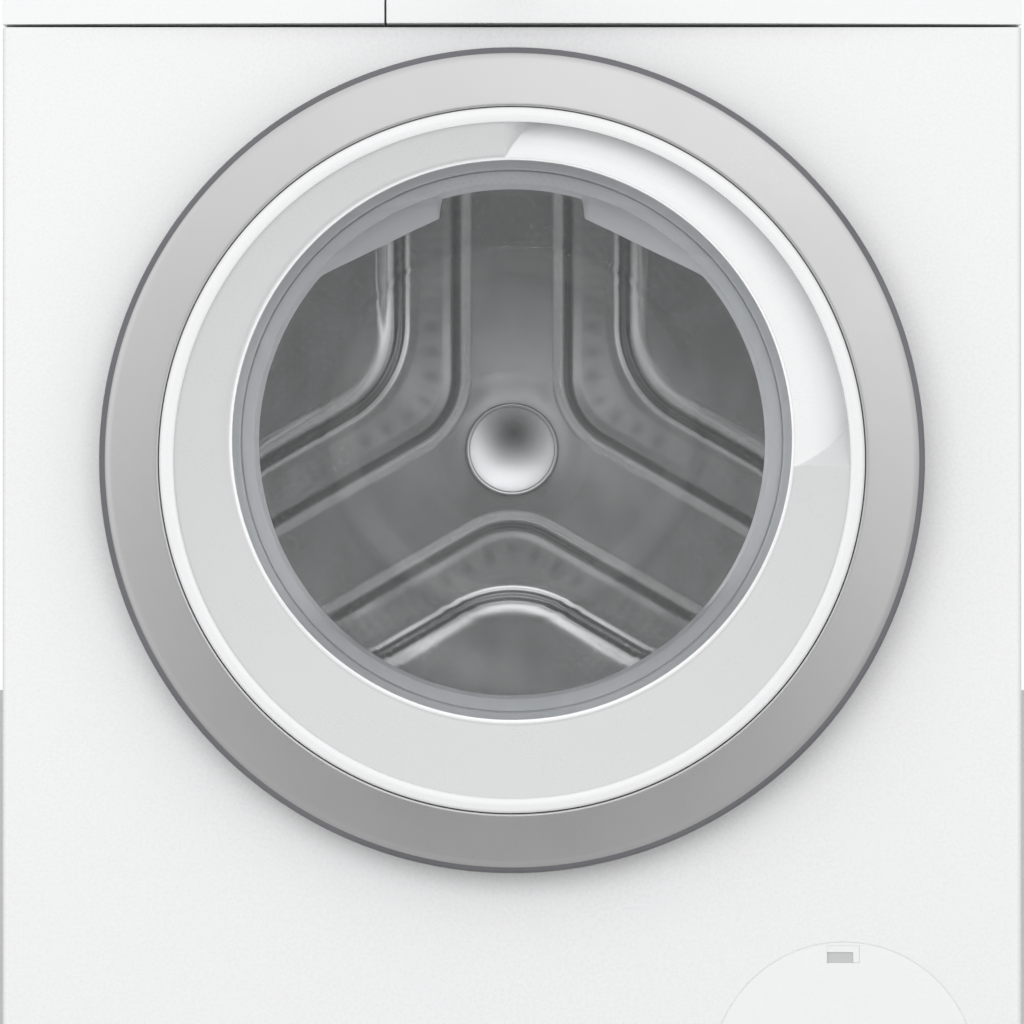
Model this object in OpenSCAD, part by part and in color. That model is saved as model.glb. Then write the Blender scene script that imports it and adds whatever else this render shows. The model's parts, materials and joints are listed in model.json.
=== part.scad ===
// Front loading washing machine, in millimetres.
// X runs to the right seen from the front, Y from front to back, Z up.
// The origin is on the floor, under the middle of the whole machine.

/* [Cabinet] */
// Width over the side panels
body_w = 598; // [594:1:600]
// Height with the feet screwed in
body_h = 848; // [844:1:856]
// Depth from the front sheet to the rear edge of the worktop
body_d = 590; // [586:1:600]
// Thickness of the sheet steel
sheet = 1; // [0.8:0.1:1.2]
// Radius of the front sheet's upright edges
edge_r = 4; // [3:0.5:6]
// Height of the seam between the front sheet and the control panel
seam_z = 728; // [726:1:730]
// Width of that seam
seam_w = 1.6; // [1.2:0.1:2]
// How far the middle of the control panel bows forward
bow = 9; // [6:1:10]

/* [Door] */
// How far the door stands in front of the front sheet
door_out = 42; // [42:1:44]
// Outer radius of the silver ring
door_r = 238; // [236:0.5:239]
// Height of the middle of the silver ring
door_z = 473; // [471:1:475]
// Inner radius of the silver ring
ring_r = 205.5; // [205.2:0.1:206]
// Inner radius of the white ring
dish_r = 195.5; // [194:0.5:196]
// Radius of the window in the door
window_r = 163; // [162:0.5:164]
// Depth of the dish from the white ring to the window
dish_depth = 20; // [18:1:22]
// Largest opening angle of the door, used in the joint's range
door_open = 165; // [90:5:165]

/* [Drum and tub] */
// Height of the drum's axis
axis_z = 485; // [484:1:486]
// Outer radius of the drum
drum_r = 236; // [230:1:237]
// Radius of the drum's mouth
mouth_r = 160; // [158:1:164]
// Inner radius of the tub
tub_r = 252; // [251:1:254]
// Wall of the tub
tub_t = 3.5; // [3:0.5:4]
// Radius of the cap on the drum's hub
cap_r = 31.5; // [30:0.5:33]

/* [Drive] */
// Running radius of the drum's pulley
pulley_r = 142; // [136:1:144]
// Running radius of the motor's pulley
pinion_r = 10.65; // [10:0.05:12]
// Sideways place of the motor's shaft
motor_x = 70; // [60:1:80]
// Height of the motor's shaft
motor_z = 138; // [134:1:142]

/* [Drawer] */
// Width of the drawer's front
drawer_w = 224.4; // [220:0.1:230]
// Width of the gap beside it
drawer_gap = 1.2; // [1:0.1:1.6]

/* [Service flap] */
// Sideways place of the flap's middle
flap_x = 194.7; // [190:0.1:196]
// Height of the flap's middle
flap_z = 113.3; // [112:0.1:115]
// Radius of the hole in the front sheet
flap_r = 78; // [76:0.5:79]
// Height of the flap's flat lower edge, below its middle
flap_drop = 70; // [68:1:71]

/* [Hidden] */
$fn = 96;

half_w = body_w / 2;
half_inner = half_w - sheet;
front_y = -(body_d + door_out) / 2;          // face of the front sheet, moved below
face_y = front_y + door_out;                 // face of the front sheet
top_back_y = face_y + body_d;                // rear edge of the worktop
back_y = top_back_y - 15;                    // outer face of the rear sheet
panel_top = seam_z - seam_w / 2;             // top edge of the front sheet
fascia_low = seam_z + seam_w / 2;            // bottom edge of the control panel
top_low = body_h - 25;                       // underside of the worktop's rim
panel_low = 30;                              // bottom edge of the front sheet
return_d = 19;                               // depth of the front sheet's side returns
side_front = face_y + return_d + 0.5;        // front edge of the side panels
side_low = 26;
tray_floor = 22;                             // underside of the base tray
tray_t = 4;
hole_r = 172;                                // hole for the gasket in the front sheet

door_front = front_y;                        // foremost face of the door
door_back = face_y - 5;                      // rear face of the door
hinge_x = -225;
hinge_y = face_y - 22;
hook_z = 440;
hook_x = 196;

mouth_y = face_y + 95;                       // front wall of the drum
drum_back_y = face_y + 430;                  // inner face of the drum's back
tub_front_y = face_y + 78;                   // outer face of the tub's front wall
tub_seam_y = -2;
tub_back_y = drum_back_y + 34;               // inner face of the tub's rear wall
belt_y0 = drum_back_y + 83;
belt_y1 = drum_back_y + 97;
arm_w = 31;                                  // half the width of the drum back's star arms

foot_x = 255;
foot_inset = 45;
spring_x = 250;
spring_y = 60;
damper_x = 170;

// ---------- helpers ----------

module box(lo, hi) translate(lo) cube(hi - lo);

// A flat outline in X and Z, from y0 back to y1.
module slab(y0, y1) translate([0, y1, 0]) rotate([90, 0, 0]) linear_extrude(y1 - y0) children();

// A flat outline in X and Y, from z0 up to z1.
module slab_z(z0, z1) translate([0, 0, z0]) linear_extrude(z1 - z0) children();

// A round bar along Y.
module rod_y(r, y0, y1, x = 0, z = 0)
    translate([x, y1, z]) rotate([90, 0, 0]) cylinder(h = y1 - y0, r = r);

module tube_y(r, bore, y0, y1, x = 0, z = 0) difference() {
    rod_y(r, y0, y1, x, z);
    rod_y(bore, y0 - 1, y1 + 1, x, z);
}

// A profile of [radius, y] points turned about an axis along Y.
module turned(points, z = axis_z, x = 0, from = 0, sweep = 360)
    translate([x, 0, z]) rotate([90, 0, 0])
        rotate_extrude(angle = sweep, start = from) polygon([for (p = points) [p[0], -p[1]]]);

module disc2(r, x = 0, z = 0) translate([x, z]) circle(r = r);

module rect2(x0, x1, z0, z1) translate([x0, z0]) square([x1 - x0, z1 - z0]);

// A rectangle with round corners, in the plane.
module round_rect(w, d, r) {
    square([w - 2 * r, d], center = true);
    square([w, d - 2 * r], center = true);
    for (x = [-1, 1], y = [-1, 1]) translate([x * (w / 2 - r), y * (d / 2 - r)]) circle(r = r);
}

function unit(v) = v / norm(v);
function tangent(path, i) =
    unit(path[min(i + 1, len(path) - 1)] - path[max(i - 1, 0)]);

// A tube of one radius along a path, with its sections squared to the path.
module swept(path, r, sides, up) {
    n = len(path);
    points = [
        for (i = [0:n - 1])
            let (t = tangent(path, i), a = unit(cross(t, up)), b = cross(a, t))
                for (k = [0:sides - 1])
                    path[i] + r * (a * cos(360 * k / sides) + b * sin(360 * k / sides))
    ];
    walls = [
        for (i = [0:n - 2], k = [0:sides - 1])
            let (m = (k + 1) % sides)
                each [[i * sides + k, i * sides + m, (i + 1) * sides + m],
                      [i * sides + k, (i + 1) * sides + m, (i + 1) * sides + k]]
    ];
    first = [for (k = [sides - 1:-1:0]) k];
    last = [for (k = [0:sides - 1]) (n - 1) * sides + k];
    polyhedron(points = points, faces = concat(walls, [first, last]));
}

// ---------- cabinet ----------

// A sheet with side returns and rounded upright edges, seen from above.
module wrapped_outline(t) {
    w = body_w - 2 * t;
    translate([-w / 2 + edge_r - t, face_y + t]) square([w - 2 * (edge_r - t), return_d]);
    translate([-w / 2, face_y + edge_r]) square([w, return_d - edge_r + 2 * t]);
    for (s = [-1, 1]) translate([s * (half_w - edge_r), face_y + edge_r]) circle(r = edge_r - t);
}

module flap_hole(gap) difference() {
    union() {
        disc2(flap_r - gap, flap_x, flap_z);
        if (gap == 0) rect2(flap_x - 40, flap_x + 40, flap_z - flap_drop - 0.9, flap_z - flap_drop + 12);
    }
    rect2(flap_x - flap_r, flap_x + flap_r, flap_z - flap_r - 1, flap_z - flap_drop - (gap == 0 ? 0.9 : 0));
}

module front_panel() color("white") difference() {
    union() {
        difference() {
            translate([0, 0, panel_low]) linear_extrude(panel_top - panel_low) intersection() {
                wrapped_outline(0);
                translate([-half_w, face_y]) square([body_w, return_d]);
            }
            translate([0, 0, panel_low + sheet]) linear_extrude(panel_top - panel_low - 2 * sheet)
                wrapped_outline(sheet);
            box([-half_w + 14, face_y + 14, panel_low - 1], [half_w - 14, face_y + 40, panel_top + 1]);
        }
        tube_y(hole_r + sheet, hole_r, face_y, face_y + 9, 0, axis_z);
    }
    rod_y(hole_r, face_y - 1, face_y + 20, 0, axis_z);
    slab(face_y - 1, face_y + 5) flap_hole(0);
    box([hook_x - 12, face_y - 1, hook_z - 13], [hook_x + 12, face_y + 5, hook_z + 13]);
}

module side_panel(s) color("white") {
    x0 = s > 0 ? half_inner : -half_w;
    flange = s > 0 ? half_inner - 16 : -half_inner;
    box([x0, side_front, side_low], [x0 + sheet, back_y - sheet, top_low]);
    box([flange, side_front, side_low + 30], [flange + 16, side_front + sheet, fascia_low - 6]);
    box([flange, back_y - 2 * sheet, side_low + 30], [flange + 16, back_y - sheet, top_low - 2]);
    box([flange, side_front + 60, top_low - sheet], [flange + 16, back_y - 60, top_low]);
}

valve_x = -190;
valve_z = 778;
drain_x = 250;
drain_z = 72;
cord_x = 215;
cord_z = 780;
transit_spots = [[-235, 600], [235, 600], [-200, 330], [200, 330]];

module rear_panel() color("gainsboro") difference() {
    union() {
        box([-half_w, back_y - sheet, side_low], [half_w, back_y, top_low]);
        for (z = [200, 420, 640]) box([-220, back_y - 3, z - 8], [220, back_y - sheet, z + 8]);
    }
    rod_y(17, back_y - 5, back_y + 5, valve_x, valve_z);
    rod_y(14, back_y - 5, back_y + 5, drain_x, drain_z);
    rod_y(9, back_y - 5, back_y + 5, cord_x, cord_z);
    for (p = transit_spots) rod_y(13, back_y - 5, back_y + 5, p[0], p[1]);
}

module worktop() color("white") difference() {
    translate([0, (face_y - 2 + top_back_y) / 2, top_low]) linear_extrude(body_h - top_low)
        round_rect(body_w, top_back_y - face_y + 2, 5);
    box([-half_w + 22, face_y + 22, top_low - 1], [half_w - 22, back_y - 22, top_low + 9]);
}

module foot_places() for (x = [-1, 1], y = [0, 1])
    translate([x * foot_x, y == 0 ? face_y + foot_inset : back_y - foot_inset, 0]) children();

module base_tray() color("dimgray") difference() {
    union() {
        difference() {
            box([-half_inner, face_y + 22, tray_floor], [half_inner, back_y - 2 * sheet, tray_floor + 28]);
            box([-half_inner + 3, face_y + 25, tray_floor + tray_t],
                [half_inner - 3, back_y - 2 * sheet - 3, tray_floor + 40]);
        }
        foot_places() translate([0, 0, tray_floor]) cylinder(h = 26, r = 14);
        for (y = [-60, 150]) box([-half_inner + 2, y - 2, tray_floor + 2],
                                 [half_inner - 2, y + 2, tray_floor + 14]);
        for (x = [-110, -30]) box([x - 2, face_y + 24, tray_floor + 2], [x + 2, back_y - 4, tray_floor + 14]);
    }
    foot_places() translate([0, 0, tray_floor - 1]) cylinder(h = 40, r = 5.3);
}

module channel(y0, y1, z0, z1) difference() {
    box([-half_inner, y0, z0], [half_inner, y1, z1]);
    box([-half_inner - 1, y0 + 1.5, z0 - 1], [half_inner + 1, y1 - 1.5, z1 - 1.5]);
}

module top_braces() color("silver") {
    channel(face_y + 24, face_y + 50, top_low - 6, top_low - 1);
    channel(spring_y - 12, spring_y + 12, top_low - 14, top_low - 1);
    channel(back_y - 52, back_y - 20, top_low - 14, top_low - 1);
}

// ---------- control panel ----------

bow_r = (half_w * half_w + bow * bow) / (2 * bow);
drawer_x = -half_w + drawer_w;                // right edge of the drawer's front
fascia_x = drawer_x + drawer_gap;
fascia_t = 2.5;
fascia_back = face_y + 19;
knob_x = 0;
panel_mid = 778;
button_spots = [[196, panel_mid], [228, panel_mid]];
start_x = 266;
start_r = 12;
display_w = 104;
display_h = 42;
display_x = 112;

// The space behind the bowed face, between two sides, seen from above.
module bowed_outline(x0, x1, inset, back) intersection() {
    translate([0, face_y - bow + bow_r]) circle(r = bow_r - inset, $fn = 2880);
    translate([x0, face_y - bow - 5]) square([x1 - x0, back - face_y + bow + 5]);
}

module knob_post(r) rod_y(r, face_y - 30, fascia_back + 10, knob_x, panel_mid);

module control_panel() color("white") {
    difference() {
        translate([0, 0, fascia_low]) linear_extrude(top_low - fascia_low)
            bowed_outline(fascia_x, half_w, 0, fascia_back);
        translate([0, 0, fascia_low + fascia_t]) linear_extrude(top_low - fascia_low - 2 * fascia_t)
            bowed_outline(fascia_x + fascia_t, half_w - fascia_t, fascia_t, fascia_back + 1);
        knob_post(6.4);
        slab(face_y - 20, face_y + 5) {
            for (p = button_spots) translate(p) round_rect(22.8, 10.8, 5.3);
            disc2(start_r + 0.4, start_x, panel_mid);
            translate([display_x, panel_mid]) square([display_w, display_h], center = true);
        }
    }
    difference() {
        box([-half_inner, fascia_back, fascia_low + 1], [fascia_x + 12, fascia_back + fascia_t, top_low - 1]);
        box([-half_w + 11, fascia_back - 1, top_low - 71.5], [fascia_x - 12, fascia_back + 5, top_low - 14]);
    }
}

module display_window() color("black") {
    x0 = display_x - display_w / 2;
    x1 = display_x + display_w / 2;
    slab_z(panel_mid - display_h / 2 + 0.2, panel_mid + display_h / 2 - 0.2)
        bowed_outline(x0 + 0.2, x1 - 0.2, 0.5, face_y - 3);
    box([x0 - 3, face_y - 3, panel_mid - display_h / 2 - 3], [x1 + 3, face_y - 1, panel_mid + display_h / 2 + 3]);
}

module control_board() color("darkgreen") {
    box([40, face_y + 8, panel_mid - 32], [286, face_y + 10, panel_mid + 32]);
    for (x = [60, 110, 160]) box([x, face_y + 10, panel_mid - 20], [x + 26, face_y + 22, panel_mid + 14]);
    box([220, face_y + 10, panel_mid - 18], [262, face_y + 26, panel_mid + 18]);
}

module selector_knob() color("silver") difference() {
    union() {
        turned([[0, face_y - 30], [20.5, face_y - 30], [22.5, face_y - 28], [26, face_y - 10],
                [0, face_y - 10]], panel_mid, knob_x);
        rod_y(6, face_y - 11, fascia_back - 6, knob_x, panel_mid);
    }
    box([knob_x - 0.9, face_y - 31, panel_mid + 9], [knob_x + 0.9, face_y - 29, panel_mid + 21]);
}

module start_button() color("white") {
    rod_y(start_r, face_y - 6.5, face_y + 2, start_x, panel_mid);
    rod_y(4, face_y + 2, face_y + 5, start_x, panel_mid);
}

module option_button(i) color("white") {
    slab(face_y - 7.5, face_y + 2) translate(button_spots[i]) round_rect(22, 10, 4.9);
    rod_y(3, face_y + 2, face_y + 5, button_spots[i][0], button_spots[i][1]);
}

// ---------- detergent drawer ----------

tray_x0 = -half_w + 16;
tray_x1 = drawer_x - 16;
tray_z0 = top_low - 69;
tray_z1 = top_low - 18;
tray_y1 = face_y + 262;
wall = 2.5;

module drawer_front() color("white") difference() {
    translate([0, 0, fascia_low]) linear_extrude(top_low - 0.8 - fascia_low)
        bowed_outline(-half_w, drawer_x, 0, fascia_back - 1);
    translate([0, 0, fascia_low + wall]) linear_extrude(top_low - fascia_low - 2 * wall - 0.8)
        bowed_outline(-half_w + wall, drawer_x - wall, wall, fascia_back + 1);
    box([-250, face_y + 1, fascia_low - 1], [-140, fascia_back + 1, fascia_low + 5]);
}

module drawer_tray() color("whitesmoke") difference() {
    union() {
        box([tray_x0, face_y + 5, tray_z0], [tray_x1, tray_y1, tray_z1]);
        box([tray_x0 - 8, face_y + 2.4, tray_z0 + 6], [tray_x1 + 8, face_y + 5, tray_z1]);
    }
    box([tray_x0 + wall, face_y + 24, tray_z0 + wall], [tray_x0 + 58, tray_y1 - wall, tray_z1 + 1]);
    box([tray_x0 + 58 + wall, face_y + 24, tray_z0 + wall], [tray_x1 - 58, face_y + 130, tray_z1 + 1]);
    box([tray_x0 + 58 + wall, face_y + 130 + wall, tray_z0 + wall], [tray_x1 - 58, tray_y1 - wall, tray_z1 + 1]);
    box([tray_x1 - 58 + wall, face_y + 24, tray_z0 + wall], [tray_x1 - wall, tray_y1 - wall, tray_z1 + 1]);
}

housing_y1 = face_y + 284;
hose_x = -196;

module dispenser_housing() color("whitesmoke") difference() {
    union() {
        box([-half_w + 8, fascia_back + wall, top_low - 73], [drawer_x - 8, housing_y1, top_low - 8]);
        translate([hose_x, -60, top_low - 95]) cylinder(h = 24, r = 16.5);
        rod_y(8, housing_y1 - 2, housing_y1 + 18, valve_x, valve_z);
    }
    box([-half_w + 8 + wall, fascia_back, top_low - 73 + wall], [drawer_x - 8 - wall, housing_y1 - wall,
        top_low - 8 - wall]);
    translate([hose_x, -60, top_low - 96]) cylinder(h = 30, r = 14);
    rod_y(5.5, housing_y1 - 5, housing_y1 + 20, valve_x, valve_z);
}

module inlet_valve() color("whitesmoke") {
    difference() {
        union() {
            rod_y(13.2, back_y - 2, back_y + 12, valve_x, valve_z);
            rod_y(20, back_y - 6, back_y - 2, valve_x, valve_z);
            box([valve_x - 16, back_y - 34, valve_z - 16], [valve_x + 16, back_y - 6, valve_z + 22]);
            rod_y(8, back_y - 56, back_y - 34, valve_x, valve_z);
        }
        rod_y(9, back_y - 10, back_y + 13, valve_x, valve_z);
        rod_y(5, back_y - 57, back_y - 20, valve_x, valve_z);
    }
}

module inlet_hose() color("gray") {
    a = housing_y1 + 2;
    b = back_y - 36;
    tube_y(11, 8, a, b, valve_x, valve_z);
    for (y = [a + 4, b - 10]) tube_y(12.5, 11, y, y + 6, valve_x, valve_z);
}

// A corrugated sleeve standing on Z, from z0 to z1.
module corrugated(z0, z1, r, bore, folds) {
    pitch = (z1 - z0 - 28) / folds;
    rotate_extrude() polygon(concat(
        [[bore, z0], [r, z0], [r, z0 + 14]],
        [for (i = [0:folds - 1], p = [[r + 4, 0.3], [r + 4, 0.7], [r, 1]]) [p[0], z0 + 14 + pitch * (i + p[1])]],
        [[r, z1], [bore, z1]]
    ));
}

module dispenser_hose() color("dimgray") translate([hose_x, -60, 0])
    corrugated(684, top_low - 76, 20, 17, 3);

// ---------- door ----------

module door_outer_ring() color("silver") difference() {
    turned([
        [ring_r, door_front + 1.5], [door_r - 8, door_front + 5], [door_r - 3, door_front + 8],
        [door_r, door_front + 14], [door_r, door_back - 8], [door_r - 4, door_back - 0.5],
        [door_r - 6.5, door_back - 0.5], [door_r - 2.8, door_back - 9], [door_r - 2.8, door_front + 15],
        [door_r - 5, door_front + 10.5], [door_r - 9, door_front + 7.7], [ring_r + 2.6, door_front + 4.4],
        [ring_r + 2.6, door_back - 12], [ring_r, door_back - 12]
    ], door_z);
    hinge_slots();
}

// Room for the two hinge arms as the door swings.
module hinge_slots() for (s = [-1, 1])
    box([-door_r - 2, hinge_y - 5.4, door_z + s * 32.5 - 10.5], [-186, door_back + 2, door_z + s * 32.5 + 10.5]);

// A straight cone between two offset circles, from y0 back to y1.
module dish_solid(r0, z0, y0, r1, z1, y1) hull() {
    rod_y(r0, y0, y0 + 0.01, 0, z0, $fn = 90);
    rod_y(r1, y1 - 0.01, y1, 0, z1, $fn = 90);
}

grip_floor = door_front + 29;
grip_r = 177.5;                              // inner wall of the finger recess
grip_from = 2;
grip_to = 82;

// The plan of the finger recess, between the window and the white ring.
module grip_plan(out, in, a0, a1) difference() {
    translate([0, door_z]) intersection() {
        circle(r = dish_r + out);
        polygon(concat([[0, 0]], [for (i = [0:8]) let (a = a0 + (a1 - a0) * i / 8) 300 * [cos(a), sin(a)]]));
    }
    disc2(grip_r + in, 0, axis_z);
}

module door_front_frame() color("white") {
    rim_y = door_front;
    bed_y = door_front + dish_depth;
    difference() {
        union() {
            rod_y(ring_r - 0.8, rim_y, bed_y + 6, 0, door_z);
            slab(rim_y + 2, grip_floor + 2.5) grip_plan(2.5, 0, grip_from - 1, grip_to + 1);
        }
        difference() {
            rod_y(ring_r - 3.3, rim_y + 3, grip_floor + 5, 0, door_z);
            dish_solid(dish_r + 3, door_z, rim_y + 1, window_r + 3, axis_z, bed_y + 3);
            slab(rim_y + 2, grip_floor + 2.5) grip_plan(2.5, 0, grip_from - 1, grip_to + 1);
            tube_y(window_r + 3, window_r, bed_y, bed_y + 4, 0, axis_z);
        }
        dish_solid(dish_r, door_z, rim_y - 0.5, window_r, axis_z, bed_y);
        rod_y(window_r, rim_y - 1, grip_floor + 5, 0, axis_z);
        slab(rim_y - 1, grip_floor) grip_plan(0, 2.5, grip_from, grip_to);
        box([-door_r, hinge_y - 5.4, door_z - 46], [-180, door_back, door_z + 46]);
    }
}

rim_front = door_front + dish_depth + 4;     // front of the glass rim

module door_rear_frame() color("gainsboro") difference() {
    union() {
        slab(door_back - 3, door_back) disc2(door_r - 7.5, 0, door_z);
        tube_y(176, 171.4, rim_front, door_back - 1, 0, axis_z);
        for (a = [98, 150, 215, 270, 325]) {
            x = 190 * cos(a);
            z = 4 + axis_z + 190 * sin(a) - 8;
            tube_y(6, 1.8, door_back - 9, door_back - 1, x, z);
        }
    }
    rod_y(167, rim_front - 1, door_back + 2, 0, axis_z);
    hinge_slots();
    box([hook_x - 9, door_back - 20, hook_z - 13], [hook_x + 9, door_back + 2, hook_z + 13]);
}

glass_t = 4;
seat_y = face_y + 39;                        // where the gasket's lip meets the glass
seat_r = 152;                                // radius of the glass there
bowl_y = face_y + 126;

module door_glass() color("lightblue") turned([
    [0, bowl_y + 2], [60, bowl_y + 1.2], [100, bowl_y - 2], [112, bowl_y - 7], [119, bowl_y - 15],
    [seat_r, seat_y], [166.5, rim_front + 6], [170.8, rim_front + 6], [170.8, rim_front + 0.2],
    [163.2, rim_front + 0.2], [seat_r - glass_t, seat_y], [115.5, bowl_y - 16], [109, bowl_y - 10],
    [99, bowl_y - 6], [60, bowl_y - glass_t + 1.2], [0, bowl_y - glass_t + 2]
]);

module knuckle(r, z0, z1) translate([hinge_x, hinge_y, z0]) cylinder(h = z1 - z0, r = r);

// The cranked arm of the hinge, seen from above.
module hinge_arm_plan() {
    polygon([
        [hinge_x, hinge_y + 4.2], [hinge_x, hinge_y - 1.2], [hinge_x + 24, hinge_y + 2.6],
        [hinge_x + 31, hinge_y + 5], [hinge_x + 35, face_y - 3], [hinge_x + 29, face_y - 3],
        [hinge_x + 26.5, hinge_y + 9.2], [hinge_x + 22, hinge_y + 7.6]
    ]);
}

module hinge_base() color("silver") difference() {
    union() {
        for (z = [door_z - 40, door_z + 25]) {
            translate([0, 0, z]) linear_extrude(15) hinge_arm_plan();
            knuckle(4.6, z, z + 15);
        }
        box([hinge_x + 25, face_y - 3, door_z - 55], [hinge_x + 42, face_y, door_z + 55]);
    }
    knuckle(3.05, door_z - 60, door_z + 60);
    for (z = [-48, 48]) rod_y(2.6, face_y - 5, face_y + 1, hinge_x + 34, door_z + z);
}

module hinge_leaf() color("silver") difference() {
    union() {
        knuckle(4.6, door_z - 24.5, door_z + 24.5);
        box([hinge_x, hinge_y - 2.4, door_z - 20], [hinge_x + 16, hinge_y + 2.4, door_z + 20]);
        box([hinge_x + 10, hinge_y + 2.4, door_z - 20], [hinge_x + 16, door_back - 3, door_z + 20]);
        box([hinge_x + 10, door_back - 6, door_z - 20], [hinge_x + 44, door_back - 3, door_z + 20]);
    }
    knuckle(3.06, door_z - 60, door_z + 60);
}

module hinge_pin() color("gray") knuckle(3, door_z - 41.5, door_z + 41.5);

hook_y = door_back - 6;                      // pivot of the hook

module door_hook() color("gray") difference() {
    union() {
        slab_z(hook_z - 8, hook_z + 8) polygon([
            [hook_x - 3.5, hook_y], [hook_x + 3.5, hook_y], [hook_x + 4.5, face_y + 16],
            [hook_x + 2, face_y + 22], [hook_x - 2, face_y + 22], [hook_x - 8, face_y + 15],
            [hook_x - 8, face_y + 10], [hook_x - 3, face_y + 10]
        ]);
        translate([hook_x, hook_y, hook_z - 8]) cylinder(h = 16, r = 4);
    }
    translate([hook_x, hook_y, hook_z - 9]) cylinder(h = 18, r = 1.6);
}

module door_lock() color("dimgray") difference() {
    union() {
        box([hook_x - 16, face_y + sheet, hook_z - 30], [hook_x + 18, face_y + 32, hook_z + 30]);
        box([hook_x - 12, face_y + 32, hook_z - 24], [hook_x + 14, face_y + 40, hook_z + 6]);
    }
    box([hook_x - 13, face_y, hook_z - 11], [hook_x + 11, face_y + 28, hook_z + 11]);
}

// ---------- gasket ----------

neck_r = 178;                                // bore of the tub's neck
neck_y = face_y + 64;                        // front edge of that neck

module door_gasket() color("darkgray") turned([
    [hole_r - 3.5, face_y - 2.2], [hole_r + 6, face_y - 2.2], [hole_r + 6, face_y - 0.3],
    [hole_r - 0.3, face_y - 0.3], [hole_r - 0.3, face_y + 9.3], [hole_r + 4, face_y + 9.3],
    [hole_r + 4, face_y + 13], [hole_r - 0.3, face_y + 14], [hole_r - 0.3, face_y + 27],
    [seat_r + 6, seat_y - 0.5], [seat_r + 5, seat_y + 3], [hole_r, face_y + 46],
    [neck_r - 2, face_y + 50], [neck_r - 2, neck_y - 7], [neck_r + 8, neck_y - 3.5],
    [neck_r + 8, neck_y + 10], [neck_r + tub_t + 0.3, neck_y + 10], [neck_r + tub_t + 0.3, neck_y - 0.3],
    [neck_r - 2, neck_y - 0.3], [neck_r - 8, neck_y + 4], [seat_r + 3.5, neck_y + 17.5],
    [seat_r + 1.2, neck_y + 17.5], [seat_r + 1.2, neck_y + 15], [neck_r - 10, neck_y + 0.5],
    [neck_r - 5, neck_y - 6], [neck_r - 5, face_y + 51], [hole_r - 1.5, face_y + 49],
    [seat_r + 2.5, seat_y + 5.5], [seat_r + 0.7, seat_y + 3], [seat_r + 0.7, seat_y - 1],
    [hole_r - 3.5, face_y + 25]
]);

// ---------- tub ----------

boss_r = 42;
rib_r = tub_r + tub_t;
flange_r = rib_r + 8.5;

module tub_lugs(y0, y1) {
    for (s = [-1, 1]) {
        box([s > 0 ? 196 : -262, spring_y - 10, 630], [s > 0 ? 262 : -196, spring_y + 10, 638]);
        box([s * damper_x - 14, spring_y - 12, 270], [s * damper_x + 14, spring_y + 12, 310]);
    }
}

module tub_front() color("lightgray") difference() {
    union() {
        rod_y(rib_r, tub_front_y, tub_seam_y, 0, axis_z);
        rod_y(flange_r, tub_seam_y - 7, tub_seam_y, 0, axis_z);
        rod_y(178 + tub_t, tub_front_y - 14, tub_front_y + 1, 0, axis_z);
        for (y = [-150, -110, -20]) rod_y(rib_r + 5, y - 1.5, y + 1.5, 0, axis_z);
        translate([180, -150, 258]) cylinder(h = 79, r = 16);
        translate([hose_x, -60, 640]) cylinder(h = 62, r = 16.5);
    }
    rod_y(tub_r, tub_front_y + tub_t, tub_seam_y + 1, 0, axis_z);
    rod_y(178, tub_front_y - 20, tub_front_y + 10, 0, axis_z);
    translate([180, -150, 250]) cylinder(h = 90, r = 13);
    translate([hose_x, -60, 620]) cylinder(h = 90, r = 13.5);
}

module tub_rear() color("lightgray") difference() {
    union() {
        rod_y(rib_r, tub_seam_y, tub_back_y + 4, 0, axis_z);
        rod_y(flange_r, tub_seam_y, tub_seam_y + 7, 0, axis_z);
        for (y = [95, 145]) rod_y(rib_r + 5, y - 1.5, y + 1.5, 0, axis_z);
        rod_y(boss_r, tub_back_y - 10, tub_back_y + 40, 0, axis_z);
        for (a = [0:30:330]) translate([0, 0, axis_z]) rotate([0, a, 0])
            box([30, tub_back_y + 2, -2], [tub_r - 28, tub_back_y + 18, 2]);
        tub_lugs();
        for (y = [68, 183]) box([motor_x - 38, y, motor_z + 38], [motor_x + 38, y + 10, 252]);
    }
    rod_y(tub_r, tub_seam_y - 1, tub_back_y - 12, 0, axis_z);
    tube_y(tub_r, boss_r, tub_back_y - 13, tub_back_y, 0, axis_z);
    rod_y(16.5, tub_back_y - 20, tub_back_y + 60, 0, axis_z);
    rod_y(26, tub_back_y - 11, tub_back_y - 2, 0, axis_z);
    rod_y(31, tub_back_y - 2, tub_back_y + 15, 0, axis_z);
    rod_y(26, tub_back_y + 24, tub_back_y + 41, 0, axis_z);
    for (x = [-20, 20]) rod_y(5, tub_back_y - 5, tub_back_y + 30, x, axis_z - 246);
    for (y = [68, 183], x = [-26, 26]) rod_y(4.2, y - 1, y + 12, motor_x + x, motor_z + 60);
}

module weight(from, sweep, bolts) difference() {
    turned([[190, tub_front_y - 42], [rib_r - 1, tub_front_y - 42], [rib_r - 1, tub_front_y],
            [190, tub_front_y]], axis_z, 0, from, sweep);
    for (a = bolts) rod_y(6, tub_front_y - 50, tub_front_y + 5, 224 * cos(a), axis_z + 224 * sin(a));
}

module counterweights() color("darkgray") {
    weight(28, 124, [50, 130]);
    weight(208, 124, [230, 310]);
}

module shaft_seal() color("black") tube_y(26, 15.06, tub_back_y - 10, tub_back_y - 2, 0, axis_z);

module bearing(r, bore, y0, y1) {
    a = bore + (r - bore) / 3;
    b = r - (r - bore) / 3;
    turned([[bore, y0], [a, y0], [a, y0 + 1], [b, y0 + 1], [b, y0], [r, y0],
            [r, y1], [b, y1], [b, y1 - 1], [a, y1 - 1], [a, y1], [bore, y1]]);
}

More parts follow.
